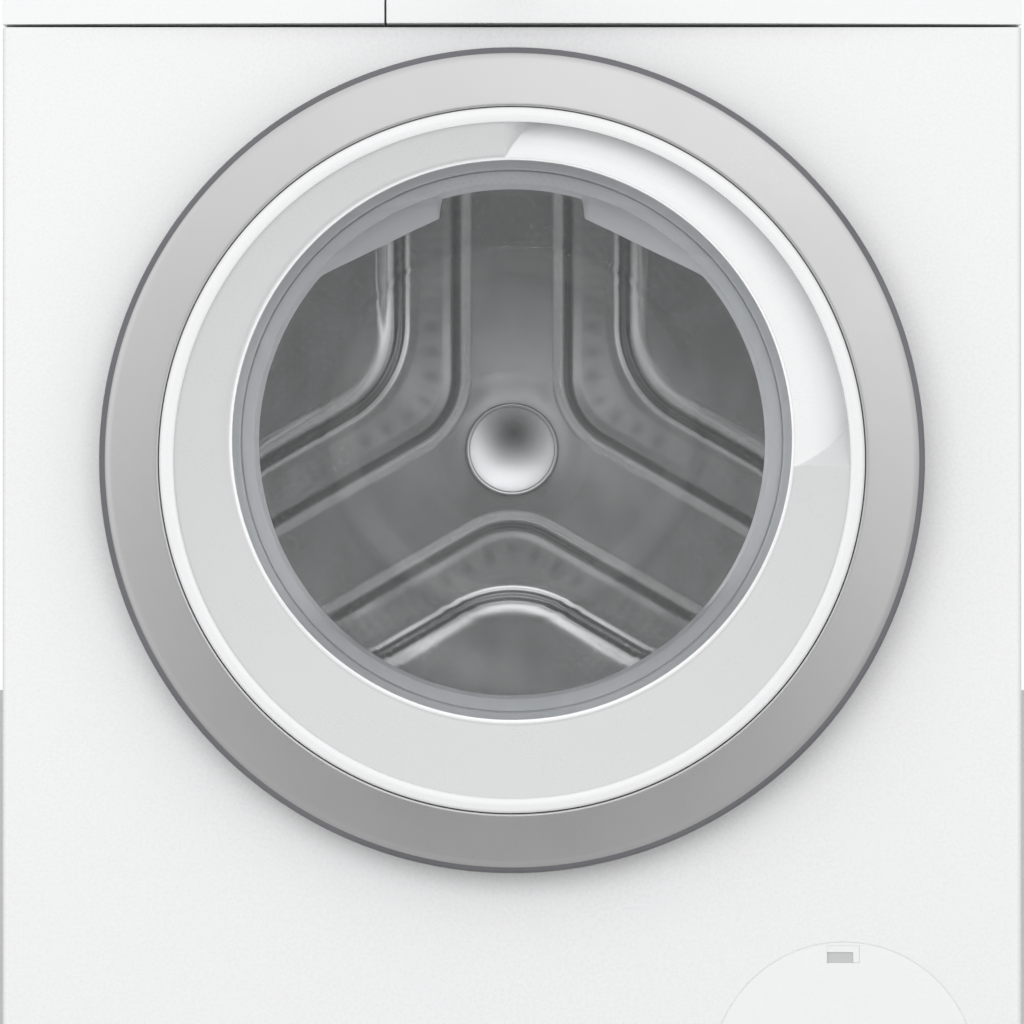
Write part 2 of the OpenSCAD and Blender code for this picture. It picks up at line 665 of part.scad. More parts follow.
module bearings() color("silver") {
    bearing(31, 15.05, tub_back_y - 2, tub_back_y + 14);
    bearing(26, 12.55, tub_back_y + 25, tub_back_y + 40);
}

module heating_element() color("gray") {
    z = axis_z - 246;
    for (x = [-20, 20]) rod_y(4, -100, tub_back_y + 24, x, z);
    translate([0, -100, z]) rotate_extrude(angle = 180, start = 180) translate([20, 0]) circle(r = 4);
    difference() {
        slab(tub_back_y + 4, tub_back_y + 10) translate([0, z]) round_rect(64, 24, 10);
        for (x = [-20, 20]) rod_y(4, tub_back_y, tub_back_y + 20, x, z);
    }
}

// ---------- drum ----------

module drum_shell() color("silver") turned([
    [mouth_r, mouth_y - 3], [mouth_r + 4, mouth_y - 5], [mouth_r + 8, mouth_y - 3], [mouth_r + 16, mouth_y],
    [drum_r - 14, mouth_y], [drum_r - 4, mouth_y + 4], [drum_r, mouth_y + 14], [drum_r, drum_back_y + 1],
    [drum_r - sheet, drum_back_y + 1], [drum_r - sheet, mouth_y + 14.5], [drum_r - 4.7, mouth_y + 4.8],
    [drum_r - 14.5, mouth_y + 1], [mouth_r + 15.5, mouth_y + 1], [mouth_r + 7.5, mouth_y - 2],
    [mouth_r + 4, mouth_y - 4], [mouth_r + 1, mouth_y - 2], [mouth_r + 1, mouth_y + 3], [mouth_r, mouth_y + 3]
]);

// One pressed line of the star: two legs beside the arms, joined by an arc round the axis of the bay.
function star_line(w, k, reach) = let (
    t = sqrt(reach * reach - w * w), rho = k - w, c = [0, -k / sin(60)],
    left = w * [cos(300), sin(300)] + t * [cos(210), sin(210)],
    right = w * [cos(240), sin(240)] + t * [cos(330), sin(330)]
) concat([left], [for (i = [0:8]) c + rho * [cos(120 - i * 7.5), sin(120 - i * 7.5)]], [right]);

function reversed(v) = [for (i = [len(v) - 1:-1:0]) v[i]];

module star_bead(w, k, width, height) for (a = [0, 120, 240])
    translate([0, drum_back_y + 0.5, axis_z]) rotate([90, 0, 0]) rotate(a) linear_extrude(height + 0.5)
        polygon(concat(star_line(w + width / 2, k, drum_r - 8), reversed(star_line(w - width / 2, k, drum_r - 8))));

module drum_back() color("silver") {
    difference() {
        union() {
            rod_y(drum_r - sheet, drum_back_y, drum_back_y + sheet, 0, axis_z);
            star_bead(arm_w, 86, 10, 5);
            star_bead(73, 145, 5, 2.5);
            star_bead(85, 145, 9, 5);
        }
        rod_y(15.3, drum_back_y - 1, drum_back_y + 5, 0, axis_z);
    }
}

module drum_paddles() color("silver") for (a = [0, 120, 240])
    translate([0, 0, axis_z]) rotate([0, a, 0]) intersection() {
        difference() {
            hull() {
                box([-26, mouth_y + 22, drum_r - 6], [26, drum_back_y - 12, drum_r]);
                box([-10, mouth_y + 50, drum_r - 50], [10, drum_back_y - 34, drum_r - 44]);
            }
            hull() {
                box([-24, mouth_y + 24, drum_r - 4], [24, drum_back_y - 14, drum_r + 1]);
                box([-8, mouth_y + 52, drum_r - 48], [8, drum_back_y - 36, drum_r - 44]);
            }
        }
        rod_y(drum_r - sheet, mouth_y, drum_back_y, 0, 0);
    }

spider_y = drum_back_y + sheet + 0.05;        // front face of the spider

module drum_spider() color("lightgray") difference() {
    union() {
        rod_y(30, spider_y, drum_back_y + 20, 0, axis_z);
        for (a = [90, 210, 330]) translate([0, 0, axis_z]) rotate([0, -a, 0]) {
            slab(spider_y, drum_back_y + 7) polygon([[0, -24], [drum_r - 12, -15], [drum_r - 12, 15], [0, 24]]);
            slab(spider_y, drum_back_y + 18) polygon([[0, -10], [drum_r - 20, -5], [drum_r - 20, 5], [0, 10]]);
        }
    }
    rod_y(15, drum_back_y, drum_back_y + 25, 0, axis_z);
}

module drum_shaft() color("gray") {
    rod_y(15, drum_back_y + sheet, tub_back_y + 18, 0, axis_z);
    rod_y(12.5, tub_back_y + 18, belt_y0 - 4, 0, axis_z);
    rod_y(10, belt_y0 - 4, belt_y1 + 3, 0, axis_z);
    difference() {
        rod_y(9, belt_y1 + 3, belt_y1 + 9, 0, axis_z, $fn = 6);
        rod_y(3, belt_y1 + 5, belt_y1 + 10, 0, axis_z);
    }
}

module hub_cap() color("white") {
    turned([[0, drum_back_y - 3], [14, drum_back_y - 4.5], [24, drum_back_y - 8], [28.5, drum_back_y - 10.5],
            [cap_r - 1.2, drum_back_y - 10.5], [cap_r, drum_back_y - 9], [cap_r, drum_back_y], [0, drum_back_y]]);
    rod_y(14.8, drum_back_y, drum_back_y + sheet, 0, axis_z);
}

module drum_pulley() color("silver") difference() {
    union() {
        tube_y(pulley_r, pulley_r - 8, belt_y0 - 3, belt_y1 + 3, 0, axis_z);
        for (y = [belt_y0 - 3, belt_y1 + 1]) tube_y(pulley_r + 4, pulley_r - 3, y, y + 2, 0, axis_z);
        rod_y(26, belt_y0 - 4, belt_y1 + 3, 0, axis_z);
        for (a = [0:60:300]) translate([0, 0, axis_z]) rotate([0, a, 0])
            box([12, belt_y0 + 2, -9], [pulley_r - 5, belt_y0 + 10, 9]);
    }
    rod_y(10, belt_y0 - 10, belt_y1 + 10, 0, axis_z);
}

// ---------- drive ----------

module belt_loop(extra) hull() {
    translate([0, axis_z]) circle(r = pulley_r + 0.3 + extra, $fn = 120);
    translate([motor_x, motor_z]) circle(r = pinion_r + 0.3 + extra, $fn = 60);
}

module drive_belt() color("black") slab(belt_y0 + 0.5, belt_y1 - 0.5) difference() {
    belt_loop(3.4);
    belt_loop(0);
}

motor_y0 = 84;
motor_y1 = 178;
motor_lugs = [78.2, 172.8];

module motor_stator() color("darkgray") difference() {
    union() {
        rod_y(50, motor_y0, motor_y1, motor_x, motor_z);
        rod_y(30, motor_y0 - 12, motor_y1 + 12, motor_x, motor_z);
        for (y = motor_lugs) box([motor_x - 34, y, motor_z + 30], [motor_x + 34, y + 10, motor_z + 74]);
        box([motor_x - 16, motor_y0 - 26, motor_z - 30], [motor_x + 16, motor_y0 - 10, motor_z - 6]);
    }
    rod_y(40, motor_y0 + 4, motor_y1 - 4, motor_x, motor_z);
    rod_y(7.08, motor_y0 - 40, motor_y1 + 20, motor_x, motor_z);
    for (x = [-26, 26]) rod_y(4.2, 60, 200, motor_x + x, motor_z + 60);
}

module motor_rotor() color("gray") {
    rod_y(39, motor_y0 + 8, motor_y1 - 8, motor_x, motor_z);
    rod_y(7, motor_y0 - 6, belt_y0 - 3, motor_x, motor_z);
    rod_y(5.5, belt_y0 - 3, belt_y1 + 4, motor_x, motor_z);
}

module motor_pulley() color("dimgray") difference() {
    union() {
        rod_y(pinion_r, belt_y0 - 3, belt_y1 + 3, motor_x, motor_z);
        for (y = [belt_y0 - 3, belt_y1 + 1.5]) rod_y(pinion_r + 4, y, y + 1.5, motor_x, motor_z);
    }
    rod_y(5.52, belt_y0 - 5, belt_y1 + 5, motor_x, motor_z);
}

// ---------- suspension ----------

spring_z0 = 640;
spring_z1 = 807;
spring_r = 12;
turns = 9;
spring_steps = 12;

function spring_reach(t) = min(1, min(t, 1 - t) * 9);
spring_path = [for (i = [0:turns * spring_steps]) let (t = i / (turns * spring_steps))
    [(2.5 + (spring_r - 2.5) * spring_reach(t)) * cos(360 * turns * t),
     (2.5 + (spring_r - 2.5) * spring_reach(t)) * sin(360 * turns * t),
     spring_z0 + (spring_z1 - spring_z0) * t]];

module suspension_springs() color("gray") for (s = [-1, 1])
    translate([s * spring_x, spring_y, 0]) swept(spring_path, 1.7, 6, [0, 0, 1]);

module damper_cylinders() color("dimgray") for (s = [-1, 1]) translate([s * damper_x, spring_y, 0])
    difference() {
        union() {
            translate([0, 0, tray_floor + tray_t + 8]) cylinder(h = 160, r = 15);
            translate([0, 0, tray_floor + tray_t]) cylinder(h = 10, r = 19);
        }
        translate([0, 0, 60]) cylinder(h = 130, r = 12);
        translate([0, 0, 60]) cylinder(h = 150, r = 5.5);
    }

module damper_rods() color("silver") for (s = [-1, 1]) translate([s * damper_x, spring_y, 0]) {
    translate([0, 0, 118]) cylinder(h = 270 - 118, r = 5.2);
    translate([0, 0, 118]) cylinder(h = 16, r = 11.7);
}

// ---------- pump and service flap ----------

module service_flap() color("white") difference() {
    union() {
        slab(face_y, face_y + 3) difference() {
            flap_hole(0.6);
            rect2(flap_x - 80, flap_x + 80, flap_z - flap_drop - 1, flap_z - flap_drop + 1.5);
        }
        translate([flap_x - 32.5, face_y + 1.5, flap_z - flap_drop + 1.5]) rotate([0, 90, 0])
            cylinder(h = 65, r = 1.5);
    }
    box([flap_x - 10, face_y - 1, flap_z + 65.3], [flap_x + 9, face_y + 1.8, flap_z + 75.6]);
}

pump_y0 = face_y + 24;
pump_y1 = face_y + 130;

module pump_housing() color("whitesmoke") difference() {
    union() {
        rod_y(36, pump_y0, pump_y1, flap_x, flap_z);
        slab(pump_y0, pump_y0 + 3) translate([flap_x, flap_z]) round_rect(100, 100, 12);
        rod_y(27, pump_y1 - 1, pump_y1 + 58, flap_x, flap_z);
        translate([180, -150, flap_z + 24]) cylinder(h = 28, r = 16);
        translate([flap_x + 30, pump_y1 - 16, flap_z - 22]) rotate([0, 90, 0]) cylinder(h = 26, r = 9);
        for (x = [-30, 30]) box([flap_x + x - 4, pump_y0 + 30, tray_floor + tray_t],
                                [flap_x + x + 4, pump_y1 - 20, flap_z - 18]);
    }
    rod_y(32, pump_y0 - 1, pump_y1 - 4, flap_x, flap_z);
    rod_y(3.08, pump_y1 - 5, pump_y1 + 40, flap_x, flap_z);
    translate([180, -150, flap_z + 12]) cylinder(h = 60, r = 13);
    translate([flap_x + 20, pump_y1 - 16, flap_z - 22]) rotate([0, 90, 0]) cylinder(h = 60, r = 6.5);
}

module filter_plug() color("white") difference() {
    union() {
        rod_y(31.6, pump_y0 + 4, pump_y0 + 14, flap_x, flap_z);
        tube_y(27, 24.5, pump_y0 + 14, pump_y0 + 66, flap_x, flap_z);
        box([flap_x - 24, pump_y0 - 12, flap_z - 3], [flap_x + 24, pump_y0 + 5, flap_z + 3]);
        rod_y(31, pump_y0 - 2, pump_y0 + 4, flap_x, flap_z);
    }
    for (a = [0:45:315]) translate([flap_x, 0, flap_z]) rotate([0, a, 0])
        box([20, pump_y0 + 24, -4], [30, pump_y0 + 58, 4]);
}

module pump_impeller() color("black") {
    rod_y(3, pump_y1 - 12, pump_y1 + 34, flap_x, flap_z);
    for (a = [0, 90]) translate([flap_x, 0, flap_z]) rotate([0, a, 0])
        box([-18, pump_y1 - 26, -1.5], [18, pump_y1 - 10, 1.5]);
}

module sump_hose() color("dimgray") translate([180, -150, 0]) corrugated(flap_z + 38, 273, 20, 16.5, 6);

module foot(x, y) color("dimgray") translate([x, y, 0]) {
    cylinder(h = 7, r = 22);
    translate([0, 0, 7]) cylinder(h = 4, r1 = 20, r2 = 14);
    translate([0, 0, 11]) cylinder(h = 52, r = 5);
    translate([0, 0, 13]) difference() {
        cylinder(h = 6, r = 9.8, $fn = 6);
        translate([0, 0, -1]) cylinder(h = 8, r = 5);
    }
}

// ---------- rear fittings ----------

drain_bend = 16;
pump_out = [flap_x + 57, pump_y1 - 16, flap_z - 22];
drain_route = concat(
    [pump_out],
    [for (a = [-90:22.5:0]) pump_out + [4 + drain_bend * cos(a), drain_bend * (1 + sin(a)), 0]],
    [[272, -60, 86], [272, 60, 82], [271, 180, 78], [266, 230, 75], [257, 262, 73],
     [drain_x, 280, drain_z], [drain_x, back_y - 8, drain_z]]
);

// Drain spigot, cord gland, transit hole caps and screws on the rear sheet, with the drain hose inside.
module rear_fittings() color("gray") {
    swept(drain_route, 10, 12, [0.01, 0, 1]);
    difference() {
        union() {
            rod_y(10, back_y - 8, back_y + 13, drain_x, drain_z);
            rod_y(18, back_y, back_y + 2, drain_x, drain_z);
            rod_y(13.8, back_y - 4, back_y, drain_x, drain_z);
        }
        rod_y(7, back_y - 6, back_y + 14, drain_x, drain_z);
    }
    difference() {
        union() {
            rod_y(8.8, back_y - 4, back_y + 2, cord_x, cord_z);
            rod_y(12, back_y, back_y + 3, cord_x, cord_z);
            rod_y(12, back_y - 6, back_y - sheet, cord_x, cord_z);
        }
        rod_y(3.8, back_y - 7, back_y + 4, cord_x, cord_z);
    }
    for (p = transit_spots) {
        rod_y(17, back_y, back_y + 2.5, p[0], p[1]);
        rod_y(12.8, back_y - 6, back_y, p[0], p[1]);
    }
    for (x = [-285, 285], z = [60, 240, 440, 640, 810]) rod_y(4, back_y, back_y + 2.2, x, z);
}

// ---------- nodes ----------

front_panel();
side_panel(-1);  // left_side_panel
side_panel(1);  // right_side_panel
rear_panel();
worktop();
base_tray();
top_braces();
control_panel();
display_window();
control_board();
selector_knob();
start_button();
option_button(0);  // option_button_1
option_button(1);  // option_button_2
drawer_front();
drawer_tray();
dispenser_housing();
inlet_valve();
inlet_hose();
dispenser_hose();
door_outer_ring();
door_front_frame();
door_rear_frame();
door_glass();
hinge_leaf();
hinge_pin();
hinge_base();
door_hook();
door_lock();
door_gasket();
tub_front();
tub_rear();
counterweights();
shaft_seal();
bearings();
heating_element();
drum_shell();
drum_back();
drum_paddles();
drum_spider();
drum_shaft();
hub_cap();
drum_pulley();
drive_belt();
motor_stator();
motor_rotor();
motor_pulley();
suspension_springs();
damper_cylinders();
damper_rods();
service_flap();
pump_housing();
filter_plug();
pump_impeller();
sump_hose();
foot(-foot_x, face_y + foot_inset);  // foot_front_left
foot(foot_x, face_y + foot_inset);  // foot_front_right
foot(-foot_x, back_y - foot_inset);  // foot_rear_left
foot(foot_x, back_y - foot_inset);  // foot_rear_right
rear_fittings();
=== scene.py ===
import json
import math

import bmesh
import bpy
import numpy as np
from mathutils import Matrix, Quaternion, Vector


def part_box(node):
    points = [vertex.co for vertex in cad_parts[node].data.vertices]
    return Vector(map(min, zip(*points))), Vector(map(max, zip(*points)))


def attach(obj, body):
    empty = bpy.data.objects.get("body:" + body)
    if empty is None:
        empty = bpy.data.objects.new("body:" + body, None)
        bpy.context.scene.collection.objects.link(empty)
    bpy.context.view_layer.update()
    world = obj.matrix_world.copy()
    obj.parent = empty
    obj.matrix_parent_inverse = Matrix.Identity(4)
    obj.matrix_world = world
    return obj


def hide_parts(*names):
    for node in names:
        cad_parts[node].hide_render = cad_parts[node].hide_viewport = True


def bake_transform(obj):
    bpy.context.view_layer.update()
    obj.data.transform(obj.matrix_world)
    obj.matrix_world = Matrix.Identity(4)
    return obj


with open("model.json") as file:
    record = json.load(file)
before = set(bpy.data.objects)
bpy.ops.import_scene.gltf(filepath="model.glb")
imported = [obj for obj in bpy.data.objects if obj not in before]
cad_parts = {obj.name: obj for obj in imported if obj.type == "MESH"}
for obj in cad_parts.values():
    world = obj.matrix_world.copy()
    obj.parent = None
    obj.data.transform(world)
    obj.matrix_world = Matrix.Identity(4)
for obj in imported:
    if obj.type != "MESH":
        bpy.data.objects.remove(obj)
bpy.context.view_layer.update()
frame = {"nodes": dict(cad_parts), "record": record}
record = frame["record"]

# ---------------------------------------------------------------- measures, in millimetres

MM = 0.001


def span(node):
    """Lowest and highest corner of a CAD node, in millimetres."""
    low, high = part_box(node)
    return np.array(low) / MM, np.array(high) / MM


ring_low, ring_high = span("door_outer_ring")
glass_low, glass_high = span("door_glass")
shell_low, shell_high = span("drum_shell")
cap_low, cap_high = span("hub_cap")

FACE = span("front_panel")[0][1]
AXIS_Z = (glass_low[2] + glass_high[2]) / 2
DOOR_Z = (ring_low[2] + ring_high[2]) / 2
DOOR_FRONT = span("door_front_frame")[0][1]
DOOR_BACK = span("door_rear_frame")[1][1]
WINDOW_R = 163.0
DISH_DEPTH = 20.0
GASKET_HOLE_R = 172.0
DRUM_R = (shell_high[2] - shell_low[2]) / 2
DRUM_BACK = span("drum_spider")[0][1] - 1.0
CAP_R = (cap_high[2] - cap_low[2]) / 2
BOWL_BACK = glass_high[1]
PLATE = 4.0

# ---------------------------------------------------------------- materials

RECORD_COLOURS = {m["slot"]: m["base_color"][:3] for m in record["materials"]}
NODE_SLOT = {s["node"]: s["material_slot"] for s in record["subparts"]}
MATERIALS = {}


def new_material(name):
    material = bpy.data.materials.new(name)
    material.use_nodes = True
    return material, material.node_tree.nodes, material.node_tree.links


def add_noise(nodes, links, vector, scale, detail=2.0):
    noise = nodes.new("ShaderNodeTexNoise")
    noise.inputs["Scale"].default_value = scale
    noise.inputs["Detail"].default_value = detail
    links.new(vector, noise.inputs["Vector"])
    return noise.outputs["Fac"]


def add_range(nodes, links, value, low, high, start=0.3, end=0.7):
    step = nodes.new("ShaderNodeMapRange")
    step.inputs["From Min"].default_value = start
    step.inputs["From Max"].default_value = end
    step.inputs["To Min"].default_value = low
    step.inputs["To Max"].default_value = high
    links.new(value, step.inputs["Value"])
    return step.outputs["Result"]


def add_mix(nodes, links, factor, a, b, blend="MIX"):
    mix = nodes.new("ShaderNodeMix")
    mix.data_type = "RGBA"
    mix.blend_type = blend
    for socket, value in ((mix.inputs[0], factor), (mix.inputs[6], a), (mix.inputs[7], b)):
        if isinstance(value, (int, float)):
            socket.default_value = value
        elif isinstance(value, tuple):
            socket.default_value = (*value, 1.0)
        else:
            links.new(value, socket)
    return mix.outputs[2]


def add_math(nodes, links, operation, a, b=0.0):
    node = nodes.new("ShaderNodeMath")
    node.operation = operation
    for socket, value in zip(node.inputs, (a, b)):
        if isinstance(value, (int, float)):
            socket.default_value = value
        else:
            links.new(value, socket)
    return node.outputs[0]


def shade(colour, factor):
    return tuple(min(1.0, c * factor) for c in colour)


def surface(
    slot, rough, metal=0.0, coat=0.0, grain=500.0, vary=0.04, bump=0.05, stretch=(1, 1, 1), tint=None,
    wear=0.15, dots=None
):
    """A procedural finish: slow colour variation, fine grain in bump and roughness, and worn patches."""
    colour = tuple(tint or RECORD_COLOURS[slot])
    material, nodes, links = new_material(slot)
    shader = nodes["Principled BSDF"]
    coordinates = nodes.new("ShaderNodeTexCoord").outputs["Object"]
    mapping = nodes.new("ShaderNodeMapping")
    mapping.inputs["Scale"].default_value = stretch
    links.new(coordinates, mapping.inputs["Vector"])
    broad = add_noise(nodes, links, coordinates, 9.0, 4.0)
    fine = add_noise(nodes, links, mapping.outputs["Vector"], grain, 3.0)
    spread = add_range(nodes, links, broad, 0.0, 1.0)
    base = add_mix(nodes, links, spread, shade(colour, 1 - vary), shade(colour, 1 + vary))
    painted = nodes.new("ShaderNodeVertexColor")
    painted.layer_name = "Tone"
    base = add_mix(nodes, links, 1.0, base, painted.outputs["Color"], "MULTIPLY")
    height = fine
    if dots:
        base, height = add_dots(nodes, links, base, fine, dots)
    links.new(base, shader.inputs["Base Color"])
    patches = add_range(nodes, links, add_noise(nodes, links, coordinates, 30.0, 5.0), -wear, wear)
    grained = add_range(nodes, links, fine, rough * 0.85, rough * 1.15)
    worn = add_math(nodes, links, "MULTIPLY", patches, rough)
    links.new(add_math(nodes, links, "ADD", grained, worn), shader.inputs["Roughness"])
    relief = nodes.new("ShaderNodeBump")
    relief.inputs["Strength"].default_value = bump
    relief.inputs["Distance"].default_value = 0.0004
    links.new(height, relief.inputs["Height"])
    links.new(relief.outputs["Normal"], shader.inputs["Normal"])
    shader.inputs["Metallic"].default_value = metal
    shader.inputs["Coat Weight"].default_value = coat
    shader.inputs["Coat Roughness"].default_value = 0.06
    MATERIALS[slot] = material
    return material


def add_dots(nodes, links, base, fine, dots):
    """Staggered dots where the mesh's Dots layer says so, on the UV map in metres.

    dots holds the number of dots in a metre, the colour of a dot, how strongly it shows and how far it stands
    out (negative: a hole).
    """
    pitch, colour, strength, relief = dots
    uv = nodes.new("ShaderNodeUVMap")
    uv.uv_map = "Metres"
    turned = nodes.new("ShaderNodeMapping")
    turned.inputs["Rotation"].default_value = (0, 0, math.radians(45))
    links.new(uv.outputs["UV"], turned.inputs["Vector"])
    cells = nodes.new("ShaderNodeTexVoronoi")
    cells.voronoi_dimensions = "2D"
    cells.inputs["Scale"].default_value = pitch
    cells.inputs["Randomness"].default_value = 0.0
    links.new(turned.outputs["Vector"], cells.inputs["Vector"])
    where = nodes.new("ShaderNodeVertexColor")
    where.layer_name = "Dots"
    distance = cells.outputs["Distance"]
    spot = add_range(nodes, links, distance, 1.0, 0.0, 0.1, 0.22)
    dot = add_math(nodes, links, "MULTIPLY", spot, where.outputs["Color"])
    shown = add_math(nodes, links, "MULTIPLY", dot, strength)
    base = add_mix(nodes, links, shown, base, colour)
    dome = add_range(nodes, links, distance, 1.0, 0.0, 0.05, 0.42)
    swell = add_math(nodes, links, "MULTIPLY", dome, where.outputs["Color"])
    height = add_math(nodes, links, "ADD", fine, add_math(nodes, links, "MULTIPLY", swell, relief))
    return base, height


def glass_material(slot, roughness=0.0):
    """Clear glass that lets the lamps through, with a faint moulded ripple."""
    material, nodes, links = new_material(slot)
    shader = nodes["Principled BSDF"]
    coordinates = nodes.new("ShaderNodeTexCoord").outputs["Object"]
    ripple = add_noise(nodes, links, coordinates, 14.0, 2.0)
    spread = add_range(nodes, links, ripple, 0.0, 1.0)
    tint = add_mix(nodes, links, spread, (0.95, 0.965, 0.97), (0.99, 0.995, 1.0))
    painted = nodes.new("ShaderNodeVertexColor")
    painted.layer_name = "Tone"
    tint = add_mix(nodes, links, 1.0, tint, painted.outputs["Color"], "MULTIPLY")
    links.new(tint, shader.inputs["Base Color"])
    links.new(
        add_range(nodes, links, add_noise(nodes, links, coordinates, 60.0, 4.0), roughness, roughness + 0.02),
        shader.inputs["Roughness"],
    )
    relief = nodes.new("ShaderNodeBump")
    relief.inputs["Strength"].default_value = 0.01
    relief.inputs["Distance"].default_value = 0.001
    links.new(ripple, relief.inputs["Height"])
    links.new(relief.outputs["Normal"], shader.inputs["Normal"])
    shader.inputs["Transmission Weight"].default_value = 1.0
    shader.inputs["IOR"].default_value = 1.004
    shader.inputs["Coat Weight"].default_value = 0.5
    shader.inputs["Coat IOR"].default_value = 1.45
    shader.inputs["Coat Roughness"].default_value = 0.04
    clear = nodes.new("ShaderNodeBsdfTransparent")
    path = nodes.new("ShaderNodeLightPath")
    mix = nodes.new("ShaderNodeMixShader")
    links.new(path.outputs["Is Shadow Ray"], mix.inputs["Fac"])
    links.new(shader.outputs["BSDF"], mix.inputs[1])
    links.new(clear.outputs["BSDF"], mix.inputs[2])
    links.new(mix.outputs["Shader"], nodes["Material Output"].inputs["Surface"])
    MATERIALS[slot] = material


def make_materials():
    surface(
        "enamel_white", 0.28, coat=0.5, grain=420, vary=0.003, bump=0.004, wear=0.08,
        tint=(0.86, 0.865, 0.87)
    )
    surface("worktop_white", 0.42, grain=900, vary=0.01, bump=0.06, wear=0.1, tint=(0.84, 0.845, 0.85))
    surface(
        "fascia_white", 0.3, coat=0.4, grain=1200, vary=0.004, bump=0.008, wear=0.08,
        tint=(0.87, 0.875, 0.88)
    )
    surface("galvanised", 0.45, metal=0.85, grain=90, vary=0.05, bump=0.05, wear=0.25)
    surface("dark_plastic", 0.5, grain=1500, vary=0.12, bump=0.15)
    surface("display_black", 0.12, coat=0.8, grain=200, vary=0.1, bump=0.01)
    surface("board_green", 0.45, grain=350, vary=0.2, bump=0.2)
    surface("knob_silver", 0.28, metal=0.9, grain=1600, vary=0.03, bump=0.04, stretch=(1, 1, 0.1))
    surface("inner_plastic", 0.4, grain=1100, vary=0.03, bump=0.06)
    surface("hose_rubber", 0.55, grain=700, vary=0.2, bump=0.2)
    surface(
        "silver_plastic", 0.33, metal=0.8, grain=2600, vary=0.012, bump=0.03, wear=0.06,
        tint=(0.66, 0.66, 0.66)
    )
    surface("grey_plastic", 0.5, grain=1300, vary=0.06, bump=0.12)
    surface("zinc", 0.32, metal=1.0, grain=260, vary=0.08, bump=0.06)
    surface("steel", 0.25, metal=1.0, grain=500, vary=0.06, bump=0.05, stretch=(1, 0.15, 1))
    surface(
        "gasket_rubber", 0.42, grain=900, vary=0.05, bump=0.1, tint=(0.66, 0.672, 0.69),
        dots=(290, (0.36, 0.37, 0.39), 0.5, -0.5)
    )
    surface("tub_plastic", 0.5, grain=800, vary=0.05, bump=0.12)
    surface("concrete", 0.85, grain=180, vary=0.18, bump=0.8, wear=0.3)
    # the drum's dots are coloured lighter than the toned sheet round them: painted highlights on the raised
    # dots
    surface(
        "drum_steel", 0.22, metal=0.84, grain=800, vary=0.03, bump=0.012, wear=0.12, tint=(0.8, 0.802, 0.804),
        dots=(156, (0.78, 0.78, 0.78), 0.75, 1.5)
    )
    surface("cast_aluminium", 0.5, metal=0.9, grain=320, vary=0.08, bump=0.3)
    surface(
        "hub_chrome", 0.14, metal=0.95, grain=900, vary=0.02, bump=0.01, wear=0.1,
        tint=(0.86, 0.86, 0.865)
    )
    surface("motor_grey", 0.45, metal=0.4, grain=300, vary=0.1, bump=0.15)
    surface("foot_grey", 0.5, grain=1200, vary=0.1, bump=0.12)
    glass_material("door_glass")


# ---------------------------------------------------------------- mesh helpers


def finish_mesh(obj, slot, body, replaced=(), sharp=35.0):
    for polygon in obj.data.polygons:
        polygon.use_smooth = True
    obj.data.set_sharp_from_angle(angle=math.radians(sharp))
    obj.data.materials.clear()
    obj.data.materials.append(MATERIALS[slot])
    paint(obj)
    if body:
        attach(obj, body)
    for node in replaced:
        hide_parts(node)
    return obj


def paint(obj, tones=None, layer="Tone"):
    """A grey vertex colour layer, from one tone or one for each vertex; white if none is given."""
    data = obj.data
    if tones is None and layer in data.color_attributes:
        return
    attribute = data.color_attributes.get(layer) or data.color_attributes.new(layer, "FLOAT_COLOR", "POINT")
    count = len(data.vertices)
    tones = np.broadcast_to(1.0 if tones is None else tones, (count,))
    rgba = np.ones((count, 4), np.float32)
    rgba[:, :3] = tones[:, None]
    attribute.data.foreach_set("color", rgba.ravel())


def mesh_object(name, points, faces, weld=True, outward=True):
    """A mesh from points in millimetres."""
    mesh = bpy.data.meshes.new(name)
    mesh.from_pydata((np.asarray(points, float) * MM).tolist(), [], faces)
    tool = bmesh.new()
    tool.from_mesh(mesh)
    if weld:
        bmesh.ops.remove_doubles(tool, verts=tool.verts, dist=1e-6)
        bmesh.ops.dissolve_degenerate(tool, dist=1e-7, edges=tool.edges)
    if outward:
        bmesh.ops.recalc_face_normals(tool, faces=tool.faces)
    tool.to_mesh(mesh)
    tool.free()
    obj = bpy.data.objects.new(name, mesh)
    bpy.context.scene.collection.objects.link(obj)
    return obj


def points_of(obj):
    """The mesh's points, in millimetres."""
    flat = np.zeros(len(obj.data.vertices) * 3)
    obj.data.vertices.foreach_get("co", flat)
    return flat.reshape(-1, 3) / MM


def grid_faces(rows, columns, wrap_rows=False, wrap_columns=False):
    row_count = rows if wrap_rows else rows - 1
    column_count = columns if wrap_columns else columns - 1
    i, j = np.meshgrid(np.arange(row_count), np.arange(column_count), indexing="ij")
    i2, j2 = (i + 1) % rows, (j + 1) % columns
    quads = np.stack([i * columns + j, i2 * columns + j, i2 * columns + j2, i * columns + j2], -1)
    return quads.reshape(-1, 4).tolist()


def rounded(profile, radius, steps=4, closed=True):
    """The same outline with its corners eased."""
    out = []
    count = len(profile)
    for i, point in enumerate(profile):
        p = Vector(point)
        if not closed and i in (0, count - 1):
            out.append(tuple(p))
            continue
        to_a = Vector(profile[i - 1]) - p
        to_b = Vector(profile[(i + 1) % count]) - p
        first = p + to_a.normalized() * min(radius, to_a.length * 0.45)
        last = p + to_b.normalized() * min(radius, to_b.length * 0.45)
        for k in range(steps + 1):
            t = k / steps
            out.append(tuple((1 - t) ** 2 * first + 2 * t * (1 - t) * p + t * t * last))
    return out


